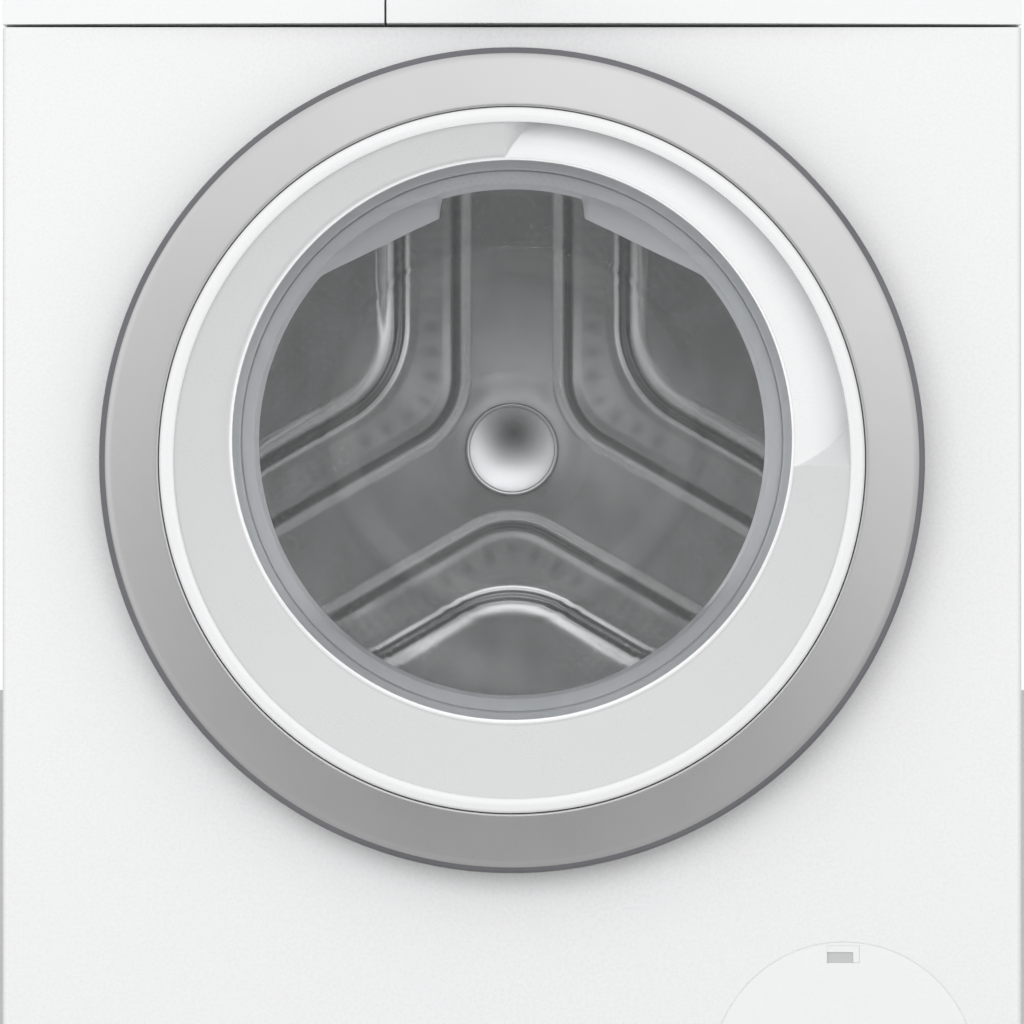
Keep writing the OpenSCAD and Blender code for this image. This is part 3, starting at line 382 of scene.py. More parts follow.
def turned_points(profile, z, x=0.0, segments=192, upright=False):
    """Points of a profile of (radius, along) turned about Y, or about Z if upright, and their faces."""
    profile = np.array(profile, float)
    angle = np.linspace(0, 2 * math.pi, segments, endpoint=False)[:, None]
    r, along = profile[None, :, 0], profile[None, :, 1]
    across = x + r * np.cos(angle)
    other = z + r * np.sin(angle)
    along = np.broadcast_to(along, across.shape)
    order = (across, other, along) if upright else (across, along, other)
    return np.stack(order, -1).reshape(-1, 3)


def lathe(name, profile, z, x=0.0, segments=192, closed=True, upright=False):
    points = turned_points(profile, z, x, segments, upright)
    faces = grid_faces(segments, len(profile), wrap_rows=True, wrap_columns=closed)
    return mesh_object(name, points, faces)


def sweep(name, path, radius, sides=12):
    """A round bar along a path; radius is one number or one for each point. Its ends are capped."""
    path = np.array(path, float)
    radius = np.broadcast_to(np.asarray(radius, float), (len(path),))
    tangents = np.gradient(path, axis=0)
    tangents /= np.linalg.norm(tangents, axis=1)[:, None]
    side = np.cross(tangents[0], (0.31, 0.27, 0.91))
    side /= np.linalg.norm(side)
    rings = []
    turn = np.linspace(0, 2 * math.pi, sides, endpoint=False)[:, None]
    for point, tangent, r in zip(path, tangents, radius):
        side = side - tangent * side.dot(tangent)
        side /= np.linalg.norm(side)
        rings.append(point + r * (np.cos(turn) * side + np.sin(turn) * np.cross(tangent, side)))
    faces = grid_faces(len(path), sides, wrap_columns=True)
    count = len(path) * sides
    faces += [list(range(sides))[::-1], list(range(count - sides, count))]
    return mesh_object(name, np.concatenate(rings), faces)


def join(objects, name):
    """One object from several."""
    bpy.ops.object.select_all(action="DESELECT")
    for o in objects:
        o.select_set(True)
    bpy.context.view_layer.objects.active = objects[0]
    bpy.ops.object.join()
    objects[0].name = name
    objects[0].data.name = name
    return objects[0]


def smoothstep(low, high, value):
    t = np.clip((value - low) / (high - low), 0, 1)
    return t * t * (3 - 2 * t)


def metres_uv(obj, u, v):
    """A UV map in metres, from one u and one v for each vertex."""
    layer = obj.data.uv_layers.new(name="Metres")
    corner = np.zeros(len(obj.data.loops), np.int32)
    obj.data.loops.foreach_get("vertex_index", corner)
    layer.data.foreach_set("uv", np.stack([u[corner], v[corner]], -1).astype(np.float32).ravel())


# ---------------------------------------------------------------- CAD nodes that keep their own mesh

BEVELS = {
    "worktop": 1.6, "front_panel": 0.5, "selector_knob": 0.6, "base_tray": 0.8, "drum_paddles": 1.2,
    "counterweights": 2.5,
}


def dress(node, obj):
    """A carried-over CAD node: smooth shading, eased edges and its own finish."""
    data = obj.data
    if "custom_normal" in data.attributes:
        data.attributes.remove(data.attributes["custom_normal"])
    for polygon in data.polygons:
        polygon.use_smooth = True
    weld = obj.modifiers.new("weld", "WELD")
    weld.merge_threshold = 2e-6
    ease = obj.modifiers.new("ease", "BEVEL")
    ease.width = BEVELS.get(node, 0.35) * MM
    ease.segments = 2
    ease.limit_method = "ANGLE"
    ease.angle_limit = math.radians(38)
    ease.harden_normals = True
    data.materials.clear()
    data.materials.append(MATERIALS[NODE_SLOT[node]])
    paint(obj)


# ---------------------------------------------------------------- door


def door_ring():
    front, back = DOOR_FRONT, DOOR_BACK
    profile = [
        (204.7, front + 2.2), (205.6, front + 1.6), (233.2, front + 5.8), (236.1, front + 7.6),
        (237.4, front + 11), (237.4, front + 24), (235.4, front + 24), (235.4, front + 16),
        (231, front + 9), (208.1, front + 4.6), (208.1, back - 12), (205.2, back - 12), (204.7, front + 4),
    ]
    ring = lathe("door_silver_ring", rounded(profile, 1.6), DOOR_Z, segments=288)
    slot_y = span("hinge_base")[0][1] - 1.2
    # a dark plastic skirt round the ring's base: part trim, part a dark ring put where the door's gap shadow
    # falls, a painted shadow
    trim_and_shadow_profile = [
        (235.0, slot_y - 6.5), (238.6, slot_y - 6), (239.5, slot_y - 4), (239.6, slot_y - 0.6),
        (239.8, slot_y + 3), (240.2, back - 5), (239.2, back - 2.6), (235.0, back - 2.6), (235.0, slot_y + 3),
        (235.0, slot_y - 0.6),
    ]
    trim_and_shadow_skirt = lathe("door_skirt", rounded(trim_and_shadow_profile, 0.8), DOOR_Z, segments=288)
    cut_hinge_slots(ring)
    cut_hinge_slots(trim_and_shadow_skirt)
    paint(ring, 1.13)
    paint(trim_and_shadow_skirt, 1.2)
    finish_mesh(ring, "silver_plastic", "door", ["door_outer_ring"])
    finish_mesh(trim_and_shadow_skirt, "dark_plastic", "door")


def cut_hinge_slots(obj):
    """Leaves out the faces where the two hinge arms pass."""
    base_low, base_high = span("hinge_base")
    arms = [(base_low[2] + 12, base_low[2] + 34), (base_high[2] - 34, base_high[2] - 12)]
    tool = bmesh.new()
    tool.from_mesh(obj.data)
    doomed = []
    for face in tool.faces:
        x, y, z = face.calc_center_median() / MM
        if x < -180 and y > base_low[1] - 1.2 and any(low < z < high for low, high in arms):
            doomed.append(face)
    bmesh.ops.delete(tool, geom=doomed, context="FACES")
    tool.to_mesh(obj.data)
    tool.free()


GRIP_DEPTH = 31.0
GRIP_X = -3.8
GRIP_Z = 469.7
# the dish is painted a light grey, the finger recess's floor and the rim near white, and the recess's end walls
# a darker grey as painted shade
DISH_TONE, FLOOR_TONE, RECESS_WALL_SHADE, RIM_TONE = 0.73, 0.97, 0.8, 0.96


def dish_depth(t, x, z):
    """Depth behind the white rim: a plain cone, with the finger recess let into its upper right part."""
    cone = 1.2 + (DISH_DEPTH - 1.2) * t
    lip = 1.1 * np.exp(-(((t - 0.965) / 0.018) ** 2))
    cone = cone - lip
    floor = 18.7 + (GRIP_DEPTH - 18.7) * np.clip((0.95 - t) / 0.95, 0, 1) ** 2.2
    right_wall = cone + 1.1 * (z - GRIP_Z)
    top_wall = cone + 1.45 * (x - GRIP_X)
    recess = np.minimum(np.minimum(floor, right_wall), top_wall)
    inside = (x > GRIP_X) & (z > GRIP_Z) & (t < 0.95) & (recess > cone)
    wall = inside & (recess < floor - 0.2)
    return np.where(inside, recess, cone), inside, wall


def door_white():
    """The white rim, the dished ring inside it with the finger recess, and the lip round the window, which
    carries a painted highlight.
    """
    front = DOOR_FRONT
    turns, rows = 1440, 56
    outer_r = 200.0
    angle = np.linspace(0, 2 * math.pi, turns, endpoint=False)[:, None]
    t = (np.linspace(0, 1, rows) ** 0.92)[None, :]
    x = (1 - t) * outer_r * np.cos(angle) + t * WINDOW_R * np.cos(angle)
    z = (1 - t) * (DOOR_Z + outer_r * np.sin(angle)) + t * (AXIS_Z + WINDOW_R * np.sin(angle))
    depth, inside, wall_face = dish_depth(np.broadcast_to(t, x.shape), x, z)
    depth = front + depth
    # the recess's end walls take a darker grey: painted shade
    tone = np.where(wall_face, RECESS_WALL_SHADE, np.where(inside, FLOOR_TONE, DISH_TONE))
    # painted highlight: the band at the window's lip and the tube behind it are lifted past white, to 1.2
    tone = np.maximum(tone, 1.2 * smoothstep(0.955, 0.97, t))
    tone = np.concatenate([tone[:, :1], tone, tone[:, -1:]], 1)
    wall = np.full((turns, 1), front + 2.2)
    tube = np.full((turns, 1), front + DISH_DEPTH + 4)
    x = np.concatenate([x[:, :1], x, x[:, -1:]], 1)
    z = np.concatenate([z[:, :1], z, z[:, -1:]], 1)
    depth = np.concatenate([wall, depth, tube], 1)
    points = np.stack([x, depth, z], -1).reshape(-1, 3)
    faces = grid_faces(turns, rows + 2, wrap_rows=True)
    dish = mesh_object("door_dish", points, faces, weld=False, outward=False)
    rim_profile = [
        (204.2, front + 2.0), (202.9, front + 0.5), (199.5, front), (196.6, front + 0.3),
        (195.5, front + 1.4), (195.9, front + 3.2), (199.8, front + 3.2), (199.8, front + 6),
        (204.2, front + 6),
    ]
    rim = lathe("door_rim", rounded(rim_profile, 0.9), DOOR_Z, segments=288)
    obj = join([dish, rim], "door_white_frame")
    co = points_of(obj)
    paint(obj, np.concatenate([tone.ravel(), np.full(len(co) - tone.size, RIM_TONE)]))
    finish_mesh(obj, "fascia_white", "door", ["door_front_frame"], sharp=28)
    return obj


def door_bowl():
    """The pressed glass bowl. Its flat end sits a little higher than its rim."""
    rim = DOOR_FRONT + 24
    seat = FACE + 39
    end = BOWL_BACK - 2
    outer = [(0, end + 2), (60, end + 1.2), (97, end - 1.2), (110, end - 5.5), (118, end - 14), (152, seat),
             (166.3, rim + 6), (170.6, rim + 6), (170.6, rim + 0.4)]
    inner = [(163.4, rim + 0.4), (148, seat), (114.2, end - 15.5), (107.5, end - 9.2), (96.5, end - 5.2),
             (60, end - 2.8), (0, end - 2)]
    profile = rounded(outer + inner, 1.6, steps=5, closed=False)
    points = turned_points(profile, AXIS_Z, segments=240)
    radius = np.hypot(points[:, 0], points[:, 2] - AXIS_Z)
    points[:, 2] += 8.0 * (1 - smoothstep(112, 150, radius))
    obj = mesh_object("door_glass_bowl", points, grid_faces(240, len(profile), wrap_rows=True))
    co = points_of(obj)
    reach = np.hypot(co[:, 0], co[:, 2] - AXIS_Z - 8)
    # a painted dark line round the bowl's flat end, standing in for the refraction at its corner
    paint(obj, 1 - 0.12 * np.exp(-(((reach - 117.2) / 1.2) ** 2)))
    finish_mesh(obj, "door_glass", "door", ["door_glass"], sharp=60)
    return obj


# ---------------------------------------------------------------- gasket


def gasket():
    """The grey bellows: a front lip at the door glass, a fold, and a rear lip with two lobes near its top."""
    f = FACE
    neck = f + 64
    r = GASKET_HOLE_R
    profile = [
        (r - 3.5, f - 2.2), (r + 6, f - 2.2), (r + 6, f - 0.4), (r - 0.4, f - 0.4), (r - 0.4, f + 9.3),
        (r + 4, f + 9.3), (r + 4, f + 13), (r - 0.3, f + 14), (r - 0.3, f + 27), (158, f + 38.5),
        (157, f + 42), (r, f + 46), (176, f + 50), (176, f + 57), (186, f + 60.5), (186, neck + 10),
        (181.9, neck + 10), (181.9, neck - 0.4), (176, neck - 0.4), (170, neck + 4), (157, neck + 17),
        (153.2, neck + 18), (152.6, neck + 16), (158, neck + 9), (168, neck + 0.5), (173, neck - 6),
        (173, f + 51), (170.5, f + 49), (154.5, f + 44.5), (152.9, f + 42), (152.9, f + 36),
        (155.4, f + 33.4), (157.8, f + 31.4), (160.2, f + 30), (160.7, f + 31.2), (161.3, f + 28.6),
        (r - 3.5, f + 25),
    ]
    profile = rounded(profile, 0.9, steps=3)
    points = turned_points(profile, AXIS_Z, segments=360)
    dx, dz = points[:, 0], points[:, 2] - AXIS_Z
    radius = np.hypot(dx, dz)
    angle = np.degrees(np.arctan2(dz, np.abs(dx)))
    # each lobe's edge is a straight line from (120, 98) to (43, 135), and steps back above that
    along = np.radians(angle)
    nx, nz = 0.4334, 0.9012
    chord = (120 * nx + 98.3 * nz) / np.maximum(nx * np.cos(along) + nz * np.sin(along), 0.3)
    lobe = smoothstep(38.0, 40.5, angle) * (1 - smoothstep(72.4, 73.6, angle))
    reach = np.clip(152.8 - chord, 0, 12) * lobe
    rear = smoothstep(neck + 6, neck + 15, points[:, 1]) * smoothstep(168, 156, radius)
    new_radius = radius - reach * rear
    scale = new_radius / np.maximum(radius, 1)
    points[:, 0] *= scale
    points[:, 2] = AXIS_Z + dz * scale
    faces = grid_faces(360, len(profile), wrap_rows=True, wrap_columns=True)
    obj = mesh_object("gasket_bellows", points, faces, weld=False)
    co = points_of(obj)
    out = np.hypot(co[:, 0], co[:, 2] - AXIS_Z)
    paint(obj, 0.72)
    turn = np.arctan2(co[:, 0], co[:, 2] - AXIS_Z)
    metres_uv(obj, turn * 157 * MM, out * MM)
    band = (out < 162) & (out > 150) & (co[:, 1] < f + 46)
    paint(obj, band * (1 - smoothstep(22, 32, np.abs(np.degrees(turn)))), "Dots")
    finish_mesh(obj, "gasket_rubber", None, ["door_gasket"], sharp=50)
    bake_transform(obj)
    return obj


# ---------------------------------------------------------------- drum

BAYS = (270.0, 30.0, 150.0)
# painted tones of the drum's back: the lips' tone is a painted highlight past white, the walls' tone painted
# shade
ARM_TONE, CHANNEL_TONE, PLATE_TONE, LIP_HIGHLIGHT, WALL_STEEL_SHADE = 0.66, 0.76, 0.7, 1.2, 0.42
NEAR_BEND, FAR_BEND = 86.0, 145.0


def bay_lines(x, z, bend):
    """How far a point is from the arms' middle lines, with corners rounded about the bays' axes, and how far
    along them it is."""
    offset = np.full(x.shape, -1e9)
    along = np.zeros(x.shape)
    for bay in BAYS:
        a = math.radians(bay)
        u = x * math.cos(a) + z * math.sin(a)
        v = np.abs(-x * math.sin(a) + z * math.cos(a))
        straight = u * math.sin(math.radians(60)) - v * math.cos(math.radians(60))
        du = u - bend / math.sin(math.radians(60))
        in_bend = (du < 0) & (v < -du * math.tan(math.radians(30)))
        value = np.where(in_bend, bend - np.hypot(du, v), straight)
        leg = du * math.cos(math.radians(60)) + v * math.sin(math.radians(60))
        way = np.where(in_bend, np.arctan2(v, -du) * (bend - 57), (bend - 57) * math.radians(30) + leg)
        nearer = value > offset
        offset = np.where(nearer, value, offset)
        along = np.where(nearer, way, along)
    return offset, along


def drum_relief(x, z):
    """How far the pressed back stands out: a three-armed star and three outer plates, with channels between."""
    r = np.hypot(x, z)
    near, along = bay_lines(x, z, NEAR_BEND)
    far, _ = bay_lines(x, z, FAR_BEND)
    inner_wall = 1 - 0.25 * smoothstep(26.5, 33.5, near) - 0.32 * smoothstep(33, 36, near)
    inner_wall -= 0.43 * smoothstep(36.6, 41, near)
    outer_wall = 0.1 * smoothstep(69.2, 70.4, far) + 0.3 * smoothstep(71, 75, far)
    outer_wall += 0.36 * smoothstep(75.6, 80.5, far)
    outer_wall += 0.24 * smoothstep(80, 88.5, far)
    rise = PLATE * np.maximum(inner_wall, outer_wall)
    # the channel's floor is crowned and has a row of soft dimples
    floor = smoothstep(40, 48, near) * (1 - smoothstep(62, 71, far))
    rise += floor * (0.5 + 0.022 * np.cos(along * 2 * math.pi / 8.1) * np.exp(-((near - 55) / 7.0) ** 2))
    # slow waves in the sheet
    rise += 0.10 * np.cos(x * 0.21 + 0.4) * np.cos(z * 0.045 + 1.0) + 0.12 * np.cos(z * 0.11 + x * 0.05)
    # the star is domed; each outer plate has its own slight tilt
    rise += 5.2 * np.cos(np.clip(r / 150, 0, 1) * math.pi / 2) ** 2 + 1.3 * (1 - smoothstep(30, 54, r))
    plate = smoothstep(84, 92, far)
    angle = np.degrees(np.arctan2(z, x))
    right = plate * smoothstep(-25, -5, angle) * (1 - smoothstep(65, 85, angle))
    left = plate * ((angle > 95) | (angle < -160))
    bottom = plate * ((angle < -35) & (angle > -145))
    rise += right * (-0.04 * (z - 60)) + left * (0.05 * (z - 60)) + bottom * (-0.015 * (z + 130))
    return rise


def mixed(base, top, weight):
    return base * (1 - weight) + top * weight


def painted_steel_light(x, z):
    """How bright the sheet is painted, the same on all three arms: the lips brightest, past white, as painted
    highlights, the walls and the channels' dimples darkest, as painted shade, and the arms, channels and plates
    in slightly different greys.
    """
    near, along = bay_lines(x, z, NEAR_BEND)
    far, _ = bay_lines(x, z, FAR_BEND)
    dimple = (0.5 + 0.5 * np.cos(along * 2 * math.pi / 16.4 + 0.5)) ** 1.5
    dimple = dimple * np.exp(-(((near - 54) / 5.5) ** 2))
    channel = CHANNEL_TONE * (1 - 0.2 * dimple * (1 - smoothstep(45, 75, along)))
    tone = mixed(ARM_TONE, LIP_HIGHLIGHT, smoothstep(26.6, 29, near))
    tone = mixed(tone, WALL_STEEL_SHADE, smoothstep(32.8, 36, near))
    tone = mixed(tone, channel, smoothstep(39.4, 42.5, near))
    tone = mixed(tone, LIP_HIGHLIGHT, smoothstep(68.2, 69.6, far))
    tone = mixed(tone, WALL_STEEL_SHADE, smoothstep(71, 73, far))
    tone = mixed(tone, LIP_HIGHLIGHT, smoothstep(79, 82, far))
    return mixed(tone, PLATE_TONE, smoothstep(86, 91, far))


def drum_back():
    """The pressed steel back of the drum."""
    radii = np.linspace(30.2, DRUM_R - 1.2, 300)
    turns = 900
    angle = np.linspace(0, 2 * math.pi, turns, endpoint=False)[:, None]
    r = radii[None, :]
    x, z = r * np.cos(angle), r * np.sin(angle)
    rise = drum_relief(x, z) * (1 - smoothstep(DRUM_R - 10, DRUM_R - 3, r))
    points = np.stack([x, DRUM_BACK - 0.2 - rise, AXIS_Z + z], -1).reshape(-1, 3)
    faces = grid_faces(turns, len(radii), wrap_rows=True)
    obj = mesh_object("drum_back_star", points, faces, weld=False, outward=False)
    co = points_of(obj)
    px, pz = co[:, 0], co[:, 2] - AXIS_Z
    metres_uv(obj, px * MM, pz * MM)
    reach = np.hypot(px, pz)
    dots = 0.45 * smoothstep(128, 140, reach) * (1 - smoothstep(DRUM_R - 14, DRUM_R - 10, reach))
    paint(obj, dots, "Dots")
    # painted highlights on the lips, painted shade in the walls and in the channels' dimples
    paint(obj, painted_steel_light(px, pz))
    finish_mesh(obj, "drum_steel", "drum", ["drum_back"], sharp=60)
    return obj


def drum_shell():
    """The drum's wall, rolled at the mouth and stepped at the seams."""
    mouth, back = shell_low[1], shell_high[1]
    profile = [
        (160, mouth + 8), (160, mouth + 2.5), (164, mouth), (168, mouth + 2.5), (176, mouth + 5),
        (DRUM_R - 14, mouth + 5), (DRUM_R - 4, mouth + 9), (DRUM_R, mouth + 19), (DRUM_R, mouth + 60),
        (DRUM_R - 1.2, mouth + 63), (DRUM_R - 1.2, back - 30), (DRUM_R, back - 27), (DRUM_R, back),
        (DRUM_R - 1, back), (DRUM_R - 1, back - 27.5), (DRUM_R - 2.2, back - 30),
        (DRUM_R - 2.2, mouth + 63), (DRUM_R - 1, mouth + 60), (DRUM_R - 1, mouth + 19.5),
        (DRUM_R - 4.7, mouth + 9.8), (DRUM_R - 14.5, mouth + 6), (175.5, mouth + 6), (167.5, mouth + 3.5),
        (164, mouth + 1), (161, mouth + 3), (161, mouth + 8),
    ]
    profile = rounded(profile, 1.5, steps=3)
    obj = lathe("drum_wall", profile, AXIS_Z, segments=256)
    co = points_of(obj)
    angle = np.arctan2(co[:, 2] - AXIS_Z, co[:, 0])
    metres_uv(obj, (angle + math.pi) * DRUM_R * MM, co[:, 1] * MM)
    radius = np.hypot(co[:, 0], co[:, 2] - AXIS_Z)
    dots = 0.5 * (radius > DRUM_R - 3) * smoothstep(mouth + 24, mouth + 30, co[:, 1])
    dots = dots * (1 - smoothstep(back - 18, back - 10, co[:, 1]))
    paint(obj, dots, "Dots")
    # the drum's wall is painted a darker grey: painted shade inside the drum
    paint(obj, 0.6)
    finish_mesh(obj, "drum_steel", "drum", ["drum_shell"], sharp=50)
    return obj


def hub_cap():
    """A rolled rim round a concave polished dish; the rim is painted a touch brighter as a painted highlight
    and the cap's side nearly black as painted shade.
    """
    front, back = cap_low[1] - 2.5, DRUM_BACK
    dish = [(r, front + 3.4 - 3.0 * (r / 28.6) ** 2) for r in np.linspace(0, 28.6, 60)]
    rim = [(29.6, front), (30.8, front + 0.2), (CAP_R - 0.2, front + 1.6), (CAP_R - 0.6, back), (0, back)]
    obj = lathe("hub_cap_dish", dish + rounded(rim, 0.6, closed=False), AXIS_Z, segments=160, closed=False)
    co = points_of(obj)
    radius = np.hypot(co[:, 0], co[:, 2] - AXIS_Z)
    # painted shade: the cap's side nearly black; painted highlight: the rolled rim a touch brighter than the
    # dish
    paint(obj, np.where(radius > CAP_R - 0.5, 0.04, np.where(radius > 28.9, 1.15, 1.1)))
    finish_mesh(obj, "hub_chrome", "drum", ["hub_cap"], sharp=60)
    return obj


# ---------------------------------------------------------------- hoses, springs, belt


def corrugated_profile(low, high, inner, outer, folds):
    """Outline of a hose standing on Z: plain cuffs with soft folds between them."""
    cuff = 14.0
    outside, inside = [(inner, low), (inner + 3, low), (inner + 3, low + cuff)], []
    for i in range(folds * 8 + 1):
        t = i / (folds * 8)
        swell = 0.5 - 0.5 * math.cos(t * folds * 2 * math.pi)
        z = low + cuff + (high - low - 2 * cuff) * t
        outside.append((inner + 3 + (outer - inner - 3) * swell, z))
        inside.append((inner + 0.4 + (outer - inner - 3) * swell, z))
    outside += [(inner + 3, high - cuff), (inner + 3, high), (inner, high)]
    return outside + inside[::-1]


def upright_hose(name, node, folds, x, y, inner, outer, start_body):
    low, high = span(node)
    profile = corrugated_profile(low[2], high[2], inner, outer, folds)
    obj = lathe(name, profile, y, x, segments=48, upright=True)
    finish_mesh(obj, "hose_rubber", None, [node], sharp=50)
    start, end = (x * MM, y * MM, low[2] * MM), (x * MM, y * MM, high[2] * MM)
    if start_body == "tub":
        start, end = end, start
    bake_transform(obj)
    return obj


def hoses():
    low, high = span("dispenser_hose")
    x, y = (low[0] + high[0]) / 2, (low[1] + high[1]) / 2
    upright_hose("hose_dispenser", "dispenser_hose", 3, x, y, 17, 24, "tub")
    low, high = span("sump_hose")
    x, y = (low[0] + high[0]) / 2, (low[1] + high[1]) / 2
    upright_hose("hose_sump", "sump_hose", 6, x, y, 16.5, 24, "cabinet")
    low, high = span("inlet_hose")
    x, z = (low[0] + high[0]) / 2, (low[2] + high[2]) / 2
    steps = np.linspace(low[1], high[1], 240)
    ribs = 10.6 + 0.5 * np.cos((steps - low[1]) * 2 * math.pi / 4.0)
    for clamp in (low[1] + 7, high[1] - 7):
        ribs = np.where(np.abs(steps - clamp) < 3.5, 12.4, ribs)
    obj = sweep("hose_inlet", [(x, y, z) for y in steps], ribs, sides=32)
    finish_mesh(obj, "hose_rubber", "cabinet", ["inlet_hose"], sharp=50)


def springs():
    """Two hanging coils with hooked ends."""
    low, high = span("suspension_springs")
    coils = []
    for x in (low[0] + 13.7, high[0] - 13.7):
        y = (low[1] + high[1]) / 2
        t = np.linspace(0, 1, 900)
        reach = np.clip(np.minimum(t, 1 - t) * 9, 0, 1)
        r = 2.5 + 9.5 * smoothstep(0, 1, reach)
        turn = t * 18 * math.pi
        height = low[2] + 1.7 + (high[2] - low[2] - 3.4) * t
        path = np.stack([x + r * np.cos(turn), y + r * np.sin(turn), height], -1)
        coils.append(sweep(f"coil_{len(coils)}", path, 1.7, sides=12))
    obj = join(coils, "spring_coils")
    finish_mesh(obj, "steel", None, ["suspension_springs"], sharp=60)
    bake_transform(obj)


def belt():
    """A flat belt with long ribs on its inner face."""
    low, high = span("drive_belt")
    pulley_low, pulley_high = span("drum_pulley")
    pinion_low, pinion_high = span("motor_pulley")
    big = np.array([(pulley_low[0] + pulley_high[0]) / 2, (pulley_low[2] + pulley_high[2]) / 2])
    small = np.array([(pinion_low[0] + pinion_high[0]) / 2, (pinion_low[2] + pinion_high[2]) / 2])
    big_r, small_r = 142.3, 10.95
    way = small - big
    distance = np.linalg.norm(way)
    lean = math.atan2(way[1], way[0])
    wrap = math.acos((big_r - small_r) / distance)
    big_turn = np.linspace(lean + wrap, lean + 2 * math.pi - wrap, 150)
    small_turn = np.linspace(lean - wrap, lean + wrap, 40)
    path = [big + big_r * np.array([math.cos(a), math.sin(a)]) for a in big_turn]
    path += [small + small_r * np.array([math.cos(a), math.sin(a)]) for a in small_turn]
    path = np.array(path)
    normal = np.array([p - (big if i < 150 else small) for i, p in enumerate(path)])
    normal /= np.linalg.norm(normal, axis=1)[:, None]
    y0, y1 = low[1] + 0.3, high[1] - 0.3
    section = [(3.2, y0), (3.2, y1)]
    for i in range(6):
        left = y1 - (y1 - y0) * i / 6
        right = y1 - (y1 - y0) * (i + 1) / 6
        section += [(0.15, left - 0.5), (0.15, right + 0.6), (1.3, right + 0.05)]
    points = [(p[0] + n[0] * s[0], s[1], p[1] + n[1] * s[0]) for p, n in zip(path, normal) for s in section]
    faces = grid_faces(len(path), len(section), wrap_rows=True, wrap_columns=True)
    obj = mesh_object("belt_ribbed", points, faces, weld=False)
    finish_mesh(obj, "hose_rubber", "tub", ["drive_belt"], sharp=30)


# ---------------------------------------------------------------- service flap and shaft seal


def flap_notch():
    """The stepped floor of the small finger notch near the top of the service flap, its deeper step painted
    grey as painted shade.
    """
    low, high = span("service_flap")
    x0 = (low[0] + high[0]) / 2 - 9.9
    z1 = high[2] - 1.85
    across, down = np.meshgrid(np.linspace(0, 18.8, 95), np.linspace(0, 10.1, 102), indexing="ij")
    step = smoothstep(3.9, 4.3, down) * (1 - smoothstep(14.9, 15.5, across))
    points = np.stack([x0 + across, FACE + 0.5 + 1.1 * step, z1 - down], -1).reshape(-1, 3)
    obj = mesh_object("flap_notch_floor", points, grid_faces(95, 102), weld=False, outward=False)
    # painted shade: the deeper step of the notch is painted grey
    paint(obj, mixed(1.0, 0.66, step).ravel())
    finish_mesh(obj, NODE_SLOT["service_flap"], "flap", sharp=50)
    # a pale strip in the gap round the flap
    x, z = (low[0] + high[0]) / 2, high[2] - 77.4
    section = [(77.42, FACE + 0.45), (77.98, FACE + 0.45), (77.98, FACE + 1.4), (77.42, FACE + 1.4)]
    strip = lathe("flap_gap_strip", rounded(section, 0.1), z, x, segments=180)
    tool = bmesh.new()
    tool.from_mesh(strip.data)
    doomed = [face for face in tool.faces if face.calc_center_median().z / MM < low[2] + 14]
    bmesh.ops.delete(tool, geom=doomed, context="FACES")
    tool.to_mesh(strip.data)
    tool.free()
    finish_mesh(strip, NODE_SLOT["service_flap"], "cabinet", sharp=50)


def shaft_seal():
    """The drum shaft's lip seal."""
    low, high = span("shaft_seal")
    y0, y1, r = low[1], high[1], (high[2] - low[2]) / 2
    profile = [
        (15.3, y0 + 1.5), (17, y0 + 0.4), (r, y0), (r, y1), (21, y1), (19, y0 + 3), (17.5, y0 + 3),
        (17, y1 - 1), (15.3, y1 - 2),
    ]
    obj = lathe("seal_lip", rounded(profile, 0.5), AXIS_Z, segments=72)
    finish_mesh(obj, "hose_rubber", "tub", ["shaft_seal"], sharp=50)


# ---------------------------------------------------------------- back of the cabinet


